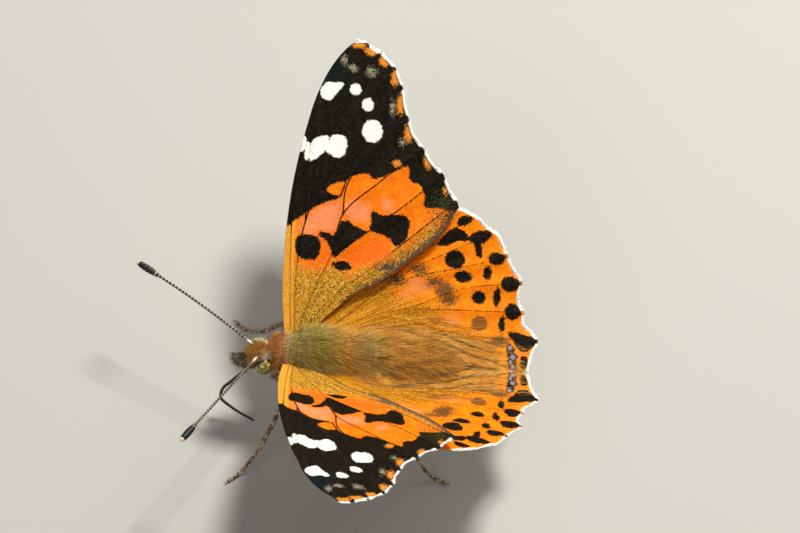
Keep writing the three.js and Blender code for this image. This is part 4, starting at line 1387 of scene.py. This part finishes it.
class BUTTERFLY_OT_feelers(bpy.types.Operator):
    """Builds the ringed antennae, the palps and the proboscis."""

    bl_idname = "butterfly.feelers"
    bl_label = "Antennae, palps and proboscis"

    def execute(self, context):
        sizes = context.scene.butterfly_sizes
        thin, club = sizes.antenna_radius / MM, sizes.club_radius / MM
        ringed = self.ringed_material()
        horn = self.horn_material()
        hair = bpy.data.materials.get("body_hair") or hair_material("body_hair")
        chance = np.random.default_rng(23)

        def antenna_radius(share):
            start = 1 - CLUB_LENGTH / ANTENNA_LENGTH
            grown = np.clip((share - start) / (1 - start), 0, 1)
            swell = np.sin(np.pi * np.clip(grown * 0.93, 0, 1)) ** 0.8
            ringing = 1 - 0.1 * np.abs(np.cos(np.pi * RINGS * share)) ** 6
            ends = np.sqrt(np.clip((1 - share) / 0.012, 0, 1))
            return (thin + (club - thin) * swell) * ringing * ends

        for side_name, side in SIDES.items():
            bm = bmesh.new()
            shaped_grid(bm, 14, 240, tube_shape(antenna_path(side), antenna_radius), (0, 0, 1, 1))
            close_ends(bm)
            piece = finish_piece(f"ringed_antenna_{side_name}", bm, ringed)
            places = np.array([vert.co[:] for vert in piece.data.vertices]) / MM
            places -= np.array([0, BACK_SHIFT, 0])
            path = along(antenna_path(side), np.linspace(0, 1, 400))
            near = np.argmin(np.linalg.norm(places[:, None] - path[None], axis=2), axis=1)
            store(piece.data, "ring_share", near / 399)
            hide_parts(f"antenna_{side_name}")
            self.palp(side_name, side, horn, hair, chance)
        bm = bmesh.new()
        shaped_grid(bm, 14, 180, tube_shape(turn_head(PROBOSCIS_PATH), proboscis_radius), (0, 0, 1, 1))
        close_ends(bm)
        piece = finish_piece("ribbed_proboscis", bm, horn)
        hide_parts("proboscis")
        return {"FINISHED"}

    def palp(self, side_name, side, horn, hair, chance):
        path = turn_head(mirrored(PALP_PATH, side))
        shape = tube_shape(path, palp_radius)
        bm = bmesh.new()
        shaped_grid(bm, 16, 40, shape, (0, 0, 1, 1))
        close_ends(bm)
        piece = finish_piece(f"scaled_palp_{side_name}", bm, horn)
        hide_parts(f"palp_{side_name}")

        def middle(v, roots):
            return along(path, v)

        u, v, roots, normals = surface_samples(shape, middle, 1100, chance, (0.05, 0.99))
        count = len(roots)
        forward = turn_head([[0, -1, 0.15]]) - turn_head([[0, 0, 0]])
        ways = unit(np.repeat(forward, count, axis=0) + 0.45 * normals + chance.normal(0, 0.12, roots.shape))
        colours = np.where(normals[:, 2:] > 0.0, paint(58, 42, 28), paint(226, 214, 190))
        pale = chance.uniform(0, 1, count) < 0.16
        colours = np.where(pale[:, None], paint(240, 228, 204), colours)
        mesh = hair_mesh(
            f"coat_palp_{side_name}", roots, ways, chance.uniform(0.35, 0.7, count),
            chance.uniform(0.012, 0.022, count), np.zeros(roots.shape), np.stack([u, v], axis=1) * 0.99,
            colours, chance.uniform(0, 1, count),
        )
        finish_mesh(mesh, hair)

    def ringed_material(self):
        material, tree, shader = new_material("ringed_antenna", 0.45, 0.4)
        share = attribute(tree, "ring_share")
        turns = maths(tree, "FRACT", maths(tree, "MULTIPLY", share, float(RINGS)))
        ring = within(tree, turns, 0.14, 0.3)
        shaft = mixed(tree, ring, paint(44, 33, 24), paint(190, 178, 152))
        clubbed = mixed(tree, within(tree, share, 0.845, 0.86), paint(14, 11, 10), shaft)
        tipped = mixed(tree, within(tree, share, 0.975, 0.985), paint(236, 214, 160), clubbed)
        footed = mixed(tree, within(tree, share, 0.06, 0.1), tipped, paint(240, 236, 224))
        tree.links.new(footed, shader.inputs["Base Color"])
        coordinates = tree.nodes.new("ShaderNodeTexCoord").outputs["Object"]
        bumped(tree, shader, noise(tree, coordinates, 9000.0), 0.00003)
        return material

    def horn_material(self):
        material, tree, shader = new_material("dark_horn", 0.35, 0.5)
        coordinates = tree.nodes.new("ShaderNodeTexCoord").outputs["Object"]
        grain = noise(tree, coordinates, 4000.0, 4.0)
        shade = mixed(tree, within(tree, grain, 0.4, 0.6), paint(62, 40, 26), paint(34, 24, 18))
        tree.links.new(shade, shader.inputs["Base Color"])
        bumped(tree, shader, grain, 0.00004)
        return material


def leg_material():
    material, tree, shader = new_material("leg_scales", 0.55, 0.35)
    coordinates = tree.nodes.new("ShaderNodeTexCoord").outputs["Object"]
    first, second, third, gap = cells(tree, stretched(tree, coordinates, (9000, 9000, 9000)), 1.0)
    patchy = noise(tree, coordinates, 900.0)
    shade = mixed(tree, within(tree, patchy, 0.42, 0.58), paint(150, 112, 70), paint(98, 70, 44))
    shade = mixed(tree, within(tree, first, 0.25, 0.3), shade, paint(226, 210, 178))
    shade = mixed(tree, within(tree, second, 0.15, 0.2), shade, paint(50, 36, 26))
    tree.links.new(shade, shader.inputs["Base Color"])
    bumped(tree, shader, gap, 0.00003)
    return material


def round_ends(share):
    return np.sqrt(np.clip(np.minimum(share, 1 - share) / 0.04, 0.02, 1))


def femur_radius(share):
    return (0.42 - 0.16 * share) * round_ends(share)


def tibia_radius(share):
    return (0.2 + 0.05 * share) * round_ends(share)


def tarsus_radius(share):
    return (0.15 + 0.03 * np.abs(np.sin(np.pi * 5 * share))) * round_ends(share)


def front_leg_radius(share):
    return (0.3 - 0.1 * share) * round_ends(share)


def claw_radius(share):
    return 0.06 * (1.02 - share)


class BUTTERFLY_OT_legs(bpy.types.Operator):
    """Builds the four walking legs with spines and claws, and the two brush-like front legs."""

    bl_idname = "butterfly.legs"
    bl_label = "Legs"

    def execute(self, context):
        material = leg_material()
        hair = bpy.data.materials.get("body_hair") or hair_material("body_hair")
        chance = np.random.default_rng(31)
        for side_name, side in SIDES.items():
            flip = np.array([side, 1, 1])
            for pair, leg in LEGS.items():
                bm = bmesh.new()
                toe = np.array([*leg["toe"], SOLE])
                heel = np.array(leg["heel"])
                ball = np.array([*(heel * 0.6 + toe * 0.4)[:2], SOLE])
                upper = np.array([leg["hip"], leg["bend"], leg["knee"]]) * flip
                shin = np.array([leg["knee"], leg["ankle"]]) * flip
                foot = np.array([leg["ankle"], heel, ball, toe]) * flip
                for path, radius_at, grid, low in (
                    (upper, femur_radius, (14, 40), 0), (shin, tibia_radius, (12, 30), 0.33),
                    (foot, tarsus_radius, (12, 60), 0.67),
                ):
                    shaped_grid(bm, *grid, tube_shape(path, radius_at), (0, low, 1, 0.3))
                tip = toe * flip
                ahead = unit((toe - ball)[None])[0] * flip
                for spread in (-1, 1):
                    across = np.array([-ahead[1], ahead[0], 0]) * spread
                    claw = np.array([
                        tip - 0.05 * ahead,
                        tip + 0.16 * ahead + 0.08 * across + [0, 0, 0.03],
                        tip + 0.3 * ahead + 0.1 * across - [0, 0, 0.12],
                    ])
                    shaped_grid(bm, 6, 8, tube_shape(claw, claw_radius), (0, 0.98, 0.02, 0.01))
                close_ends(bm)
                lowest = min(vert.co.z for vert in bm.verts)
                for vert in bm.verts:
                    vert.co.z = max(vert.co.z, 0.0) if lowest < 0 else vert.co.z
                piece = finish_piece(f"leg_{pair}_{side_name}", bm, material)
                leg_name = f"leg_{pair}_{side_name}"
                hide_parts(f"{leg_name}_femur", f"{leg_name}_tibia", f"{leg_name}_tarsus")
                self.add_hair(f"coat_leg_{pair}_{side_name}", upper, shin, foot, hair, chance)
            bm = bmesh.new()
            path = np.array(FRONT_LEG) * flip
            shape = tube_shape(path, front_leg_radius)
            shaped_grid(bm, 12, 60, shape, (0, 0, 1, 1))
            close_ends(bm)
            piece = finish_piece(f"brush_leg_{side_name}", bm, material)
            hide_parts(f"leg_front_{side_name}")
            self.brush(f"coat_brush_leg_{side_name}", shape, path, hair, chance)
        return {"FINISHED"}

    def brush(self, name, shape, path, hair, chance):
        u, v, roots, ways = strewn_tube(path, shape, 900, chance, (0.05, 0.98), 0.6)
        count = len(roots)
        colours = np.array(paint(206, 180, 140)) * chance.uniform(0.6, 1.1, (count, 1))
        mesh = hair_mesh(
            name, roots, ways, chance.uniform(0.35, 0.7, count), chance.uniform(0.012, 0.02, count),
            np.zeros(roots.shape), np.stack([u, v], axis=1) * 0.99, colours, chance.uniform(0, 1, count),
        )
        finish_mesh(mesh, hair)

    def add_hair(self, name, upper, shin, foot, hair, chance):
        """Fine hair on the femur and stiff spines on tibia and tarsus."""
        roots, ways, lengths, radii, flats = [], [], [], [], []
        for path, radius, count, length, thick, low in (
            (upper, 0.34, 700, (0.3, 0.6), 0.014, 0.0), (shin, 0.22, 90, (0.25, 0.42), 0.022, 0.33),
            (foot, 0.16, 110, (0.14, 0.22), 0.018, 0.67),
        ):
            shape = tube_shape(path, lambda v: np.full(len(v), radius * 0.9))
            u, v, places, way = strewn_tube(path, shape, count, chance, (0.04, 0.96), 0.7)
            size = chance.uniform(*length, len(places))
            above = places[:, 2] + way[:, 2] * size > 0.02
            roots.append(places[above])
            ways.append(way[above])
            lengths.append(size[above])
            radii.append(np.full(above.sum(), thick))
            flats.append(np.stack([u[above] * 0.99, low + 0.3 * v[above]], axis=1))
        roots, ways, flats = np.vstack(roots), np.vstack(ways), np.vstack(flats)
        colours = np.array(paint(150, 118, 80)) * chance.uniform(0.4, 1.2, (len(roots), 1))
        mesh = hair_mesh(
            name, roots, ways, np.concatenate(lengths), np.concatenate(radii), np.zeros(roots.shape), flats,
            colours, chance.uniform(0, 1, len(roots)),
        )
        finish_mesh(mesh, hair)


class BUTTERFLY_OT_stage(bpy.types.Operator):
    """Builds the pale floor, the soft studio light and the camera."""

    bl_idname = "butterfly.stage"
    bl_label = "Stage"

    def execute(self, context):
        bm = bmesh.new()
        bmesh.ops.create_grid(bm, x_segments=2, y_segments=2, size=FLOOR_HALF)
        mesh = bpy.data.meshes.new("floor")
        bm.to_mesh(mesh)
        bm.free()
        floor = bpy.data.objects.new("floor", mesh)
        material, tree, shader = new_material("pale_floor", 0.8, 0.2)
        shader.inputs["Base Color"].default_value = (*paint(176, 176, 170), 1)
        mesh.materials.append(material)
        context.scene.collection.objects.link(floor)
        middle = Vector((0, (CAMERA_AIM_BACK + BACK_SHIFT) * MM, LAMPS_AIM_HEIGHT * MM))
        for name, place, size, power, colour in LAMPS:
            lamp = bpy.data.lights.new(name, "AREA")
            lamp.size = size
            lamp.energy = power
            lamp.color = colour
            holder = bpy.data.objects.new(name, lamp)
            holder.location = middle + Vector(place)
            holder.rotation_euler = (middle - holder.location).to_track_quat("-Z", "Y").to_euler()
            context.scene.collection.objects.link(holder)
        world = bpy.data.worlds.new("studio")
        world.use_nodes = True
        background = world.node_tree.nodes["Background"]
        background.inputs["Color"].default_value = WORLD_COLOUR
        background.inputs["Strength"].default_value = WORLD_STRENGTH
        context.scene.world = world
        context.scene.view_settings.view_transform = "Standard"
        camera = bpy.data.cameras.new("camera")
        camera.sensor_width = SENSOR
        camera.lens = SENSOR * CAMERA_DISTANCE / FRAME_WIDTH
        camera.clip_start = 0.01
        holder = bpy.data.objects.new("camera", camera)
        aim = Vector((0, CAMERA_AIM_BACK + BACK_SHIFT, HINGE_HEIGHT + CAMERA_AIM_HEIGHT))
        place = (aim + CAMERA_DISTANCE * Vector(CAMERA_Z)) * MM
        turn = Matrix((CAMERA_X, CAMERA_Y, CAMERA_Z)).transposed()
        holder.matrix_world = Matrix.Translation(place) @ turn.to_4x4()
        context.scene.collection.objects.link(holder)
        context.scene.camera = holder
        return {"FINISHED"}


class BUTTERFLY_PT_panel(bpy.types.Panel):
    """Lists the butterfly's pieces."""

    bl_idname = "BUTTERFLY_PT_panel"
    bl_label = "Butterfly"
    bl_space_type = "VIEW_3D"
    bl_region_type = "UI"
    bl_category = "Butterfly"

    def draw(self, context):
        for step in STEPS:
            self.layout.operator(step.bl_idname)
        for group in (context.scene.butterfly_sizes, context.scene.butterfly_colours):
            for name in group.bl_rna.properties.keys():
                if name not in ("rna_type", "name"):
                    self.layout.prop(group, name)


STEPS = (
    BUTTERFLY_OT_wings, BUTTERFLY_OT_body, BUTTERFLY_OT_eyes, BUTTERFLY_OT_feelers, BUTTERFLY_OT_legs,
    BUTTERFLY_OT_stage,
)
CLASSES = (ButterflySizes, ButterflyColours, *STEPS, BUTTERFLY_PT_panel)


def register():
    for kind in CLASSES:
        bpy.utils.register_class(kind)
    bpy.types.Scene.butterfly_sizes = PointerProperty(type=ButterflySizes)
    bpy.types.Scene.butterfly_colours = PointerProperty(type=ButterflyColours)


def unregister():
    del bpy.types.Scene.butterfly_sizes
    del bpy.types.Scene.butterfly_colours
    for kind in reversed(CLASSES):
        bpy.utils.unregister_class(kind)


def main():
    register()
    for step in STEPS:
        family, name = step.bl_idname.split(".")
        getattr(getattr(bpy.ops, family), name)()


if __name__ == "__main__":
    main()
